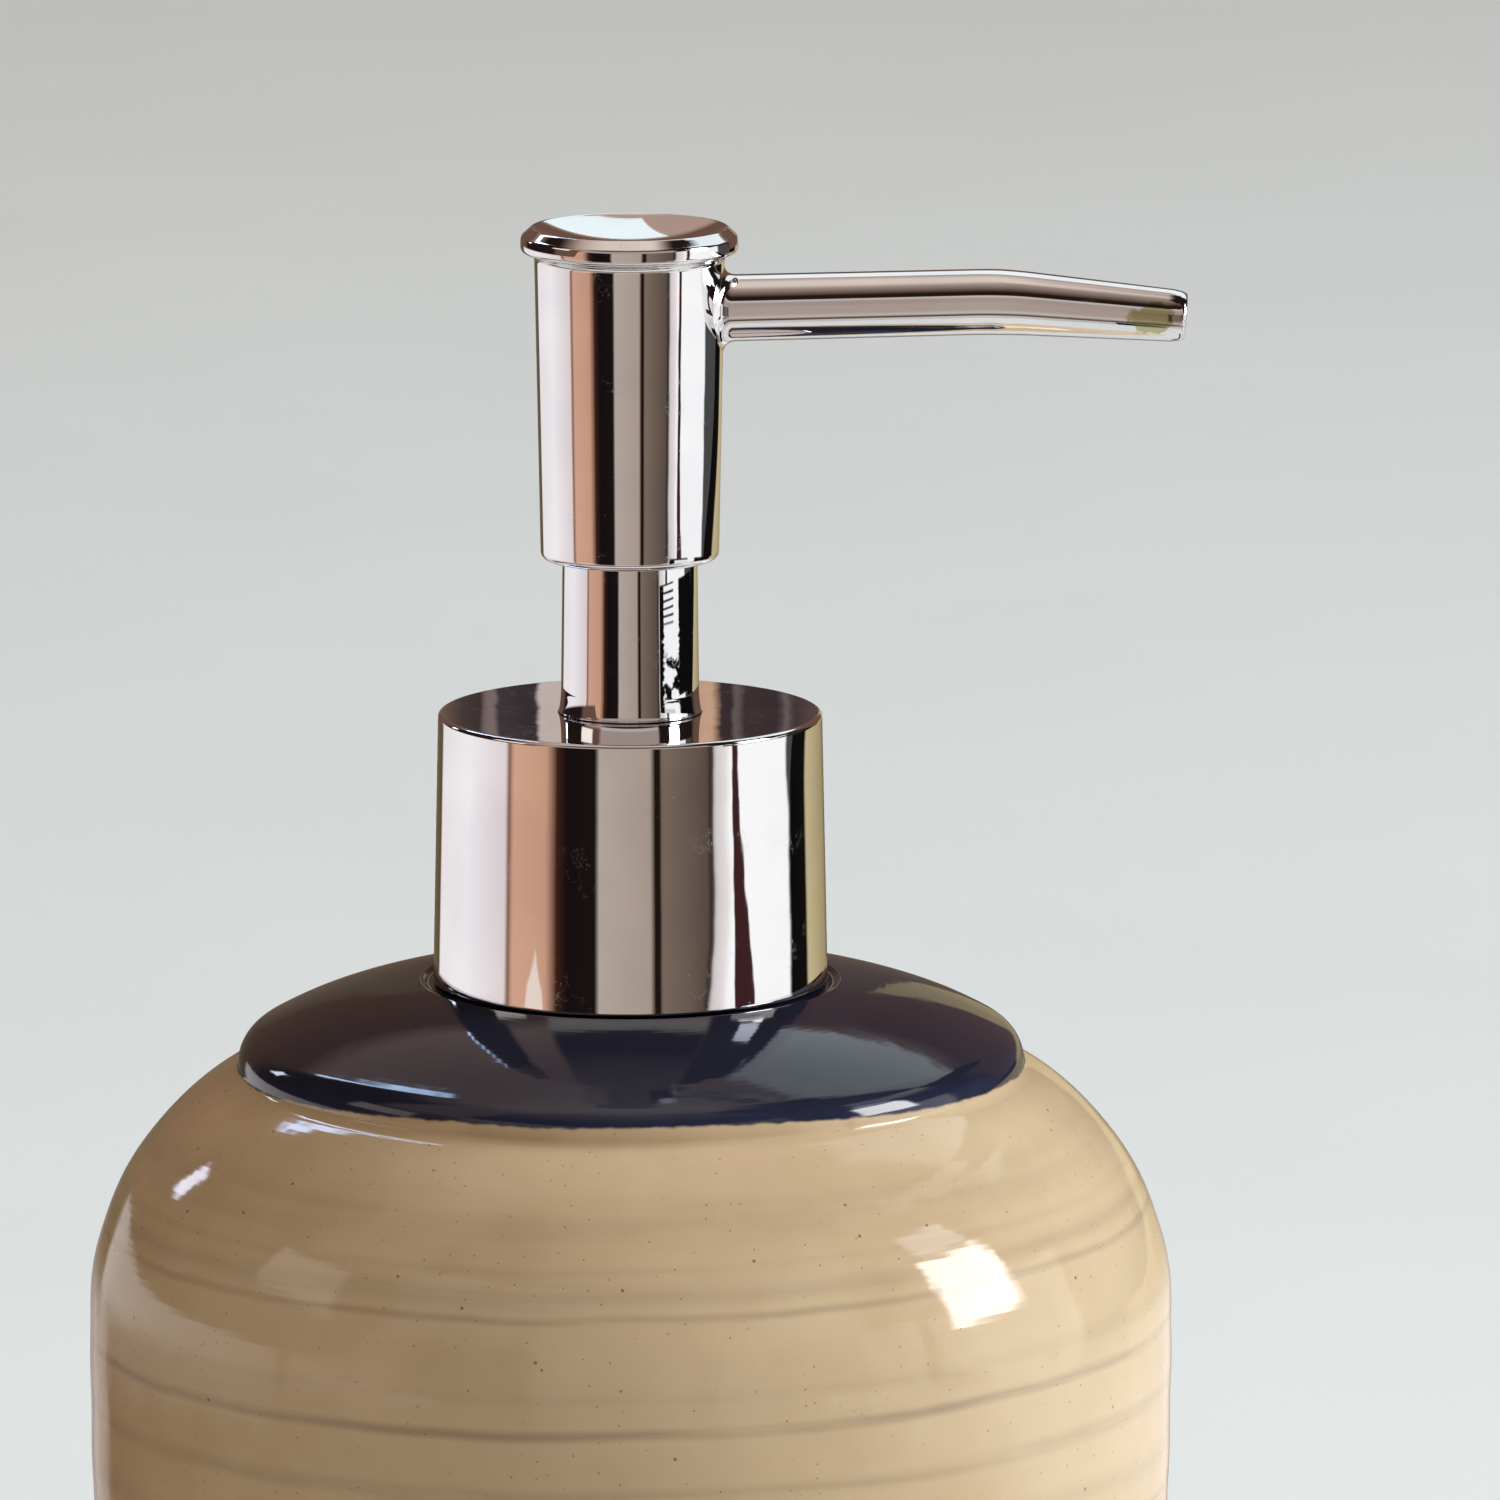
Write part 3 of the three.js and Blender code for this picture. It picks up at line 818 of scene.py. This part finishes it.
def closure_profile():
    bore, hole, plate = 14.1, 6.4, 1.1
    return [
        (bore, CLOSURE_FOOT), (CLOSURE_R, CLOSURE_FOOT), (CLOSURE_R - 0.45, CLOSURE_TOP),
        (hole, CLOSURE_TOP), (hole, CLOSURE_TOP - plate), (bore, CLOSURE_TOP - plate),
    ]


def ribbed(r, z, angle):
    """Grip ribs round the closure's outside."""
    if r < CLOSURE_R - 0.9 or not CLOSURE_FOOT + 0.8 < z < CLOSURE_TOP - 0.6:
        return r, z
    return r - RIB_DEPTH * (0.5 + 0.5 * math.cos(RIBS * angle)) ** 2, z


turned(
    "closure_cap", closure_profile(), "closure", "collar", "white_plastic", WHITE,
    6 * RIBS, 0.3, ribbed,
)


# ---------------------------------------------------------------- the pump's works

def housing_profile():
    """The barrel, with a socket for the dip tube below and a plug and flange above."""
    bore, outer, floor = 6.6, 7.7, 86.0
    tube_r, socket_r, socket_top = 3.2, 4.6, 78.5
    plug_r, flange_z = 10.0, 132.2
    pocket, seat, seat_z = 2.5, 1.5, 79.5
    return [
        (tube_r, HOUSING.bottom),
        (socket_r, HOUSING.bottom),
        (socket_r, seat_z),
        (outer, floor - 1.5),
        (outer, 123.5),
        (plug_r, 127.0),
        (plug_r, flange_z),
        (HOUSING.r, flange_z),
        (HOUSING.r, HOUSING.top),
        (bore, HOUSING.top),
        (bore, floor),
        (pocket, floor),
        (pocket, seat_z + 1),
        (seat, seat_z),
        (seat, socket_top),
        (tube_r, socket_top),
    ]


def bush_profile():
    bore, plug, tube = 3.7, 6.3, 4.9
    bottom, plug_top, top, edge = 125.0, 133.4, 151.0, 0.4
    return [
        (bore, bottom), (plug, bottom), (plug, plug_top), (tube, plug_top),
        (tube, top - edge), (tube - edge, top), (bore, top),
    ]


def stem_profile():
    r, bore, seat = 3.6, 2.2, 1.2
    bottom, top, seat_z = 119.2, 169.4, 164.5
    return [
        (bore, bottom), (r, bottom), (r, top), (bore, top),
        (bore, seat_z + 2), (seat, seat_z + 1), (seat, seat_z), (bore, seat_z),
    ]


def piston_profile():
    """A waist between two lips that flare out to the barrel."""
    lip, waist, bore, hole = 6.5, 5.7, 3.7, 2.3
    bottom, shelf, top = 116.0, 118.9, 123.6
    return [
        (hole, bottom), (5.3, bottom), (lip, 115.3), (lip, 116.6), (waist, 118.0), (waist, 122.0),
        (lip, 123.4), (lip, 124.6), (5.2, top), (bore, top), (bore, shelf), (hole, shelf),
    ]


def ball_profile(node):
    e = extent(node)
    middle = (e.bottom + e.top) / 2
    return [(max(0.0, r), z) for r, z in arc(0.0, middle, e.r, -90, 90, 24)]


def dip_tube():
    """The suction tube, its lower end cut on a slant."""
    e = extent("dip_tube")
    slant = math.tan(math.radians(30))
    outer, inner = 2.9, 2.1

    def cut(r, z, angle):
        if z > e.bottom + 0.01:
            return r, z
        return r, e.bottom + slant * (outer - r * math.cos(angle))

    above = e.bottom + 5  # clear of the slant
    profile = [
        (inner, e.bottom), (outer, e.bottom), (outer, above), (outer, e.top),
        (inner, e.top), (inner, above),
    ]
    vertices, faces = turned_mesh([Vector(p) for p in profile], SMALL, cut)
    piece("suction_tube", vertices, faces, "pump_body", "natural_plastic", NATURAL, "dip_tube")


def return_spring():
    """The coil spring, built as one fixed coil of wire."""
    e = extent("return_spring")
    wire, turns, coil_r = 0.45, 8, 4.3
    low, high = e.bottom + wire, e.top - wire
    rings = []
    steps = turns * 40
    for i in range(steps + 1):
        t = i / steps
        rings.append(wire_ring(2 * math.pi * turns * t, coil_r, low + (high - low) * t, wire, 12))
    vertices, faces = ring_mesh(rings)
    spring = piece("coil_spring", vertices, faces, "pump_body", "steel", STEEL, "return_spring")
    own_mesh(spring)


turned("pump_barrel", housing_profile(), "pump_housing", "pump_body", "natural_plastic", NATURAL, ROUND)
turned("stem_guide", bush_profile(), "guide_bush", "pump_body", "white_plastic", WHITE)
turned("hollow_stem", stem_profile(), "stem", "head", "white_plastic", WHITE)
turned("piston_seal", piston_profile(), "piston", "piston", "soft_seal", SEAL, SMALL, 0.1)
turned("inlet_check_ball", ball_profile("inlet_ball"), "inlet_ball", "inlet_ball", "steel", STEEL)
turned("outlet_check_ball", ball_profile("outlet_ball"), "outlet_ball", "outlet_ball", "steel", STEEL)
dip_tube()
return_spring()

# Three hidden pieces keep the CAD's own shape, with a new material and softened edges
for node in ("ball_stop", "piston_rod", "actuator_core"):
    cad = frame["nodes"][node]
    cad.data.materials.clear()
    cad.data.materials.append(WHITE)
    softened = cad.modifiers.new("edges", "BEVEL")
    softened.width = 0.12 * MM
    softened.segments = 2
    softened.limit_method = "ANGLE"


# ---------------------------------------------------------------- the room

def emitter(name, colour_by, clear_by=None):
    """An emission material whose colour, and clearness, come from functions of the shader."""
    s = Shader(name)
    shown = s.add("ShaderNodeEmission", {"Color": colour_by(s), "Strength": WHITE_LIGHT})
    if clear_by:
        clear = s.add("ShaderNodeBsdfTransparent")
        shown = s.add("ShaderNodeMixShader", {0: clear_by(s), 1: shown.outputs[0], 2: clear.outputs[0]})
    out = s.tree.nodes["Material Output"]
    s.tree.links.new(shown.outputs[0], out.inputs["Surface"])
    return s.material


# What the polished parts reflect: azimuth from the camera's side towards +X in degrees, and colour
WALLS = (
    (-172, (112, 96, 84)), (-150, (86, 78, 48)), (-147.5, (236, 230, 230)), (-110, (246, 242, 244)),
    (-78, (226, 214, 214)), (-75.5, (120, 84, 62)), (-72, (212, 166, 142)), (-50, (202, 156, 130)),
    (-43, (60, 34, 24)), (-37, (22, 16, 18)), (-19.2, (26, 20, 18)), (-18, (184, 170, 160)),
    (12, (172, 156, 144)), (14.5, (30, 22, 16)), (17.5, (34, 24, 18)), (19, (124, 108, 96)),
    (46, (92, 78, 70)), (49.5, (20, 16, 16)), (51.5, (214, 206, 204)), (58, (232, 226, 224)),
    (62, (255, 255, 255)), (106, (255, 255, 255)), (108, (14, 12, 12)),
    (125, (20, 16, 14)), (128, (196, 182, 142)), (160, (156, 140, 104)), (172, (96, 84, 74)),
)
# The same right behind the object, for the collar's flat top: degrees from +Y towards +X
BACK = (
    (-8, (112, 96, 84)), (-3.0, (104, 84, 74)), (-2.75, (70, 58, 56)), (-2.5, (60, 50, 50)),
    (-2.42, (120, 106, 102)), (-2.30, (118, 104, 100)), (-2.25, (62, 54, 56)), (-1.75, (52, 44, 48)),
    (-1.70, (190, 176, 168)), (-1.0, (186, 172, 162)), (0.2, (186, 150, 128)), (0.62, (196, 158, 132)),
    (0.75, (56, 44, 46)), (0.90, (52, 42, 44)), (0.95, (110, 98, 96)), (1.05, (60, 50, 50)),
    (1.55, (56, 46, 48)), (1.60, (112, 100, 98)), (1.72, (62, 52, 52)), (2.0, (84, 70, 66)),
    (2.08, (62, 52, 50)), (2.5, (74, 62, 58)), (3.2, (110, 92, 82)), (8, (96, 84, 74)),
)
# Above the walls on the camera's side, by elevation
FRONT_SKY = (
    (12, (168, 152, 146)), (26, (166, 152, 144)), (29, (196, 188, 180)), (33.5, (190, 180, 172)),
    (35, (40, 26, 18)), (46, (36, 26, 20)), (53, (92, 76, 66)), (62, (128, 112, 102)),
    (74, (166, 148, 138)), (84, (216, 202, 190)), (90, (222, 208, 196)),
)
# Windows and lamps: azimuth, half-width, elevation, half-height, softness, colour, strength
LAMPS = (
    (81.5, 11, 17, 11.5, 2.5, (255, 255, 255), 12.0),
    (83, 9, 34, 6, 2.5, (228, 238, 255), 3.0),
    (-78, 13, 19, 8, 3.0, (255, 246, 236), 1.1),
    (-142, 3.2, 45, 14, 2.0, (186, 214, 255), 8.0),
    (-132, 3.0, 14.8, 4.6, 1.6, (226, 232, 255), 6.0),
)
# What the jar's sides reflect close by: azimuth, colour and strength
TABLE = (
    (-180, (150, 144, 146)), (-152, (176, 168, 168)), (-148, (214, 204, 202)), (-137, (190, 176, 170)),
    (-133, (90, 64, 44)), (-90, (70, 44, 28)), (-30, (60, 38, 26)), (30, (96, 72, 54)),
    (66, (170, 150, 138)), (80, (240, 232, 226)), (150, (232, 224, 216)), (168, (120, 96, 72)),
    (180, (60, 52, 34)),
)
DOME_R = 550
DOME_Z = 140
STAGE_SIDES = 96
WHITE_LIGHT = 1.12  # strength at which a reflected white reaches the picture's white


def stops(s, value, colours):
    """A colour ramp over a value's range from named stops."""
    low, high = colours[0][0], colours[-1][0]
    ramp = s.add("ShaderNodeValToRGB", {0: s.ramp(value, low, high, smooth=False)})
    elements = ramp.color_ramp.elements
    while len(elements) < len(colours):
        elements.new(0.5)
    for element, (at, colour) in zip(elements, colours):
        element.position = (at - low) / (high - low)
        element.color = rgb(*colour)
    return ramp.outputs[0]


def apart(s, a, b):
    """How far two values are apart."""
    return s.math("ABSOLUTE", s.minus(a, b))


def window(s, azimuth, elevation, centre, half_width, height, half_height, soft):
    """How far inside a lamp's panel a direction is, from 0 to 1."""
    across = s.ramp(apart(s, azimuth, centre), half_width - soft, half_width, 1.0, 0.0)
    upward = s.ramp(apart(s, elevation, height), half_height - soft, half_height, 1.0, 0.0)
    return s.times(across, upward)


# Two flame-like streaks that widen towards the floor, one dark and one bright:
# azimuth above and below, half-width above and below, elevation where they start, colour
FLAMES = (
    (65, 71, 2.4, 8.5, -8.6, (62, 34, 36)),
    (-56, -57, -2.0, 17.0, -10.6, (232, 214, 204)),
)
WALL_FOOT = -13.2  # elevation below which the walls' bands have spread fully


def wall_colour(s, azimuth, elevation, behind):
    """The walls' bands of colour, with curtain-like edges on the lamp's side."""
    folds = s.minus(s.noise(s.join(0.0, 0.0, elevation), 0.9, 3.0), 0.5)
    loose = s.times(s.between(azimuth, 44, 58, 110, 132), 9.0)
    swayed = s.math("MULTIPLY_ADD", folds, loose, azimuth)
    spread = s.ramp(elevation, WALL_FOOT, -10.6, 11.0, 0.0)
    swayed = s.math("ADD", swayed, s.times(spread, s.between(azimuth, 34, 42, 96, 104)))
    # The dark end of the lamp's side reaches further round at the head's height
    kept = s.math("MINIMUM", swayed, 108.5)
    shifted = s.minus(swayed, s.ramp(elevation, -10.4, -7.0, 0.0, 24.0))
    walls = stops(s, s.math("MAXIMUM", kept, shifted), WALLS)
    lick = s.minus(s.noise(s.join(s.times(azimuth, 0.12), 0.0, elevation), 1.5, 3.0), 0.5)
    for high, low, narrow, wide, start, flame in FLAMES:
        half = s.ramp(elevation, WALL_FOOT, start, wide, narrow)
        half = s.math("MULTIPLY_ADD", lick, 4.0, half)
        centre = s.ramp(elevation, WALL_FOOT, start, low, high)
        inside = s.ramp(s.minus(half, apart(s, azimuth, centre)), 0.0, 1.2)
        walls = s.mix(inside, walls, rgb(*flame))
    is_back = s.ramp(s.math("ABSOLUTE", behind), 7.6, 7.9, 1.0, 0.0)
    return s.mix(is_back, walls, stops(s, behind, BACK))


def upper_colour(s, azimuth, elevation):
    """Above the walls: a warm wall and ceiling, dark to the left and right."""
    above = s.mix(s.ramp(elevation, 26, 34), rgb(104, 78, 66), rgb(176, 150, 136))
    above = s.mix(s.ramp(elevation, 58, 80), above, rgb(222, 208, 196))
    in_front = s.ramp(s.math("ABSOLUTE", azimuth), 48, 56, 1.0, 0.0)
    above = s.mix(in_front, above, stops(s, elevation, FRONT_SKY))
    right = s.times(s.between(azimuth, 48, 54, 124, 136), s.ramp(elevation, 66, 78, 1.0, 0.0))
    left = s.times(s.between(azimuth, -146, -132, -88, -80), s.ramp(elevation, 50, 66, 1.0, 0.0))
    return s.mix(s.math("MAXIMUM", left, right), above, rgb(34, 24, 20))


def room_colour(s):
    """Floor, walls, upper room, lamps and a blue-white window behind, by direction."""
    where = s.add("ShaderNodeTexCoord").outputs["Object"]
    way = s.add("ShaderNodeVectorMath", {0: where}, operation="NORMALIZE").outputs[0]
    x, y, z = s.split(way)
    azimuth = s.azimuth(x, y)
    behind = s.times(s.math("ARCTAN2", x, y), DEGREES)
    elevation = s.times(s.math("ARCSINE", z), DEGREES)

    walls = wall_colour(s, azimuth, elevation, behind)
    wavy = s.math("MULTIPLY_ADD", s.noise(s.join(azimuth, 0.0, 0.0), 0.06, 2.0), 5.0, elevation)
    colour = s.mix(s.ramp(wavy, -16.5, -14.5, 1.0, 0.0), walls, rgb(196, 180, 168))
    # At the sides the upper room starts lower down
    is_side = s.math("MAXIMUM", s.ramp(azimuth, -60, -54, 1.0, 0.0), s.ramp(azimuth, 124, 130))
    ledge = s.times(is_side, s.ramp(s.math("ABSOLUTE", behind), 8, 20, 0.0, -16.0))
    is_above = s.ramp(s.minus(elevation, ledge), 11.5, 13.5)
    colour = s.mix(is_above, colour, upper_colour(s, azimuth, elevation))
    for *panel, tint, strength in LAMPS:
        bright = tuple(c * strength for c in rgb(*tint)[:3]) + (1.0,)
        colour = s.mix(window(s, azimuth, elevation, *panel), colour, bright)
    pane = s.times(s.between(behind, -7.0, -6.3, 56, 66), s.between(elevation, 30, 32, 57, 60))
    return s.mix(pane, colour, rgb(240, 252, 255))


def unseen_stage(name, vertices, faces, material):
    """Part of the stage that lights nothing and shows only in reflections."""
    mesh = bpy.data.meshes.new(name)
    mesh.from_pydata(vertices, [], faces)
    mesh.materials.append(material)
    made = bpy.data.objects.new(name, mesh)
    bpy.context.collection.objects.link(made)
    made.visible_camera = False
    made.visible_diffuse = False
    made.visible_shadow = False
    made.visible_transmission = False
    return made


def stage_angles():
    return [2 * math.pi * k / STAGE_SIDES for k in range(STAGE_SIDES)]


def reflection_dome():
    """A dome that only polished surfaces see."""
    almost_pole, steps = 89.991, 48
    levels = arc(0.0, 0.0, DOME_R, -almost_pole, almost_pole, steps)
    rings = [[out_at(a) * r + UP * z for a in stage_angles()] for r, z in levels]
    vertices, faces = ring_mesh(rings, capped=False)
    dome = unseen_stage("reflection_dome", vertices, faces, emitter("room_reflections", room_colour))
    dome.location = UP * DOME_Z * MM


def table_colour(s):
    """What stands and lies round the jar, by azimuth."""
    azimuth = s.azimuth(*s.split(s.place())[:2])
    colour = stops(s, azimuth, TABLE)
    lit = s.times(s.ramp(azimuth, 60, 85, 1.0, 1.3), s.ramp(azimuth, 150, 168, 1.0, 0.4))
    bright = s.add("ShaderNodeVectorMath", {0: colour}, operation="SCALE")
    s.feed(bright.inputs["Scale"], lit)
    return bright.outputs[0]


def table_clear(s):
    """The band thins out towards its top and its foot."""
    height = s.split(s.place())[2]
    return s.math("MAXIMUM", s.ramp(height, 30, 74), s.ramp(height, 2, 24, 1.0, 0.0))


def table_band(radius=200, bottom=0.5, top=74.5):
    """A low band round the jar, below the chrome's view, that only polished surfaces see."""
    pairs = [(out_at(a) * radius + UP * bottom, out_at(a) * radius + UP * top) for a in stage_angles()]
    vertices, faces = strip_mesh(pairs, closed=True)
    unseen_stage("table_band", vertices, faces, emitter("table_reflections", table_colour, table_clear))


def sheet_colour(s):
    """Pale near the object; further out the walls' bands show in it."""
    x, y = s.split(s.place())[:2]
    reach = s.math("SQRT", s.math("ADD", s.times(x, x), s.times(y, y)))
    far = s.ramp(reach, 240, 500, 0.12, 0.85)
    return s.mix(far, rgb(206, 200, 194), stops(s, s.azimuth(x, y), WALLS))


def floor_sheet(inner=160, outer=535, height=0.3):
    """A ring just above the floor that only polished surfaces see."""
    lift = UP * height
    pairs = [(out_at(a) * outer + lift, out_at(a) * inner + lift) for a in stage_angles()]
    vertices, faces = strip_mesh(pairs, closed=True)
    unseen_stage("floor_sheet", vertices, faces, emitter("sheet_reflections", sheet_colour))


SLAT_PITCH = 0.73


def card_colour(s):
    """A ragged-edged light on black, slatted at its top and smudged at its foot."""
    x, y, z = s.split(s.place())
    azimuth = s.azimuth(x, y)
    ragged = s.minus(s.noise(s.join(0.0, 0.0, z), 1.3, 4.0, 0.75), 0.5)
    ragged = s.times(ragged, s.ramp(z, 135.6, 137.4, 26.0, 3.0))
    swayed = s.math("ADD", azimuth, ragged)
    slats = s.ramp(s.math("SINE", s.times(z, 2 * math.pi / SLAT_PITCH)), 0.3, 0.7)
    slats = s.times(slats, s.ramp(swayed, 75, 77, 1.0, 0.0))
    slats = s.times(slats, s.ramp(z, 136.4, 136.8))
    smudged = s.ramp(s.noise(s.join(s.times(azimuth, 0.06), 0.0, z), 0.9, 3.0), 0.5, 0.56)
    smudged = s.times(smudged, s.ramp(z, 133.2, 134.2, 1.0, 0.0))
    lit = s.between(swayed, 56, 57.5, 86, 88)
    lit = s.times(lit, s.minus(1.0, s.math("MAXIMUM", slats, smudged)))
    return s.mix(lit, rgb(14, 12, 12), rgb(255, 255, 255))


def column_card(radius=60, bottom=129.4, top=140.4, start=49.5, end=121, steps=32):
    """A dark card with a slatted light beside the pump, for the column to reflect."""
    pairs = []
    for k in range(steps + 1):
        edge = out_at(math.radians(start + (end - start) * k / steps - 90)) * radius
        pairs.append((edge + UP * bottom, edge + UP * top))
    vertices, faces = strip_mesh(pairs)
    unseen_stage("column_card", vertices, faces, emitter("card_reflections", card_colour))


def floor(half=30.0):
    """A pale matt floor, its half side in metres."""
    s = Shader("pale_floor")
    place = s.place()
    s.set(Base_Color=s.mix(s.noise(place, 0.01, 3.0), rgb(240, 238, 234), rgb(233, 231, 227)))
    s.set(Roughness=s.ramp(s.noise(place, 0.3, 3.0), 0.3, 0.7, 0.5, 0.6))
    s.surface.inputs["Specular IOR Level"].default_value = 0.1
    mesh = bpy.data.meshes.new("floor")
    corners = [(-half, -half, 0), (half, -half, 0), (half, half, 0), (-half, half, 0)]
    mesh.from_pydata(corners, [], [[0, 1, 2, 3]])
    mesh.materials.append(s.material)
    made = bpy.data.objects.new("floor", mesh)
    bpy.context.collection.objects.link(made)


LIT_POINT = UP * 0.1  # the lights aim at the object's middle height


def area_light(name, azimuth, elevation, distance, size, power, colour, spread=180):
    """A soft light aimed at the object, placed by azimuth from the camera's side towards +X."""
    a, e = math.radians(azimuth), math.radians(elevation)
    way = Vector((math.sin(a) * math.cos(e), -math.cos(a) * math.cos(e), math.sin(e)))
    data = bpy.data.lights.new(name, "AREA")
    data.shape = "SQUARE"
    data.size = size
    data.energy = power
    data.color = colour
    data.spread = math.radians(spread)
    light = bpy.data.objects.new(name, data)
    light.location = LIT_POINT + way * distance
    light.rotation_mode = "QUATERNION"
    light.rotation_quaternion = way.to_track_quat("Z", "Y")
    light.visible_glossy = False
    bpy.context.collection.objects.link(light)


def world():
    """Faint warm light from all round."""
    made = bpy.data.worlds.new("studio")
    bpy.context.scene.world = made
    made.use_nodes = True
    background = made.node_tree.nodes["Background"]
    background.inputs["Color"].default_value = (0.9, 0.83, 0.75, 1)
    background.inputs["Strength"].default_value = 0.18
    bpy.context.scene.view_settings.view_transform = "Standard"


AIM = Vector((10.7, 0.0, 132.7)) * MM
CAMERA_AWAY, CAMERA_TILT, CAMERA_LENS = 1.30, 10.4, 349.4  # metres, degrees down, lens mm


def camera():
    """Above the pump's height and looking slightly down, through a long lens."""
    tilt = math.radians(CAMERA_TILT)
    data = bpy.data.cameras.new("camera")
    data.sensor_width = 36.0
    data.lens = CAMERA_LENS
    data.clip_end = 100.0
    made = bpy.data.objects.new("camera", data)
    back = Vector((0, -math.cos(tilt), math.sin(tilt)))
    made.location = AIM + back * CAMERA_AWAY
    made.rotation_mode = "QUATERNION"
    made.rotation_quaternion = back.to_track_quat("Z", "Y")
    bpy.context.collection.objects.link(made)
    bpy.context.scene.camera = made


camera()
world()
floor()
reflection_dome()
table_band()
column_card()
floor_sheet()
# azimuth, elevation, distance, size, power, colour, spread
area_light("key", 84, 26, 3.2, 1.9, 52, (0.72, 0.87, 1.0), 100)
area_light("fill", -100, 30, 2.4, 1.6, 3, (1.0, 0.8, 0.6))
area_light("top", 10, 84, 4.4, 6.4, 98, (1.0, 0.95, 0.88))
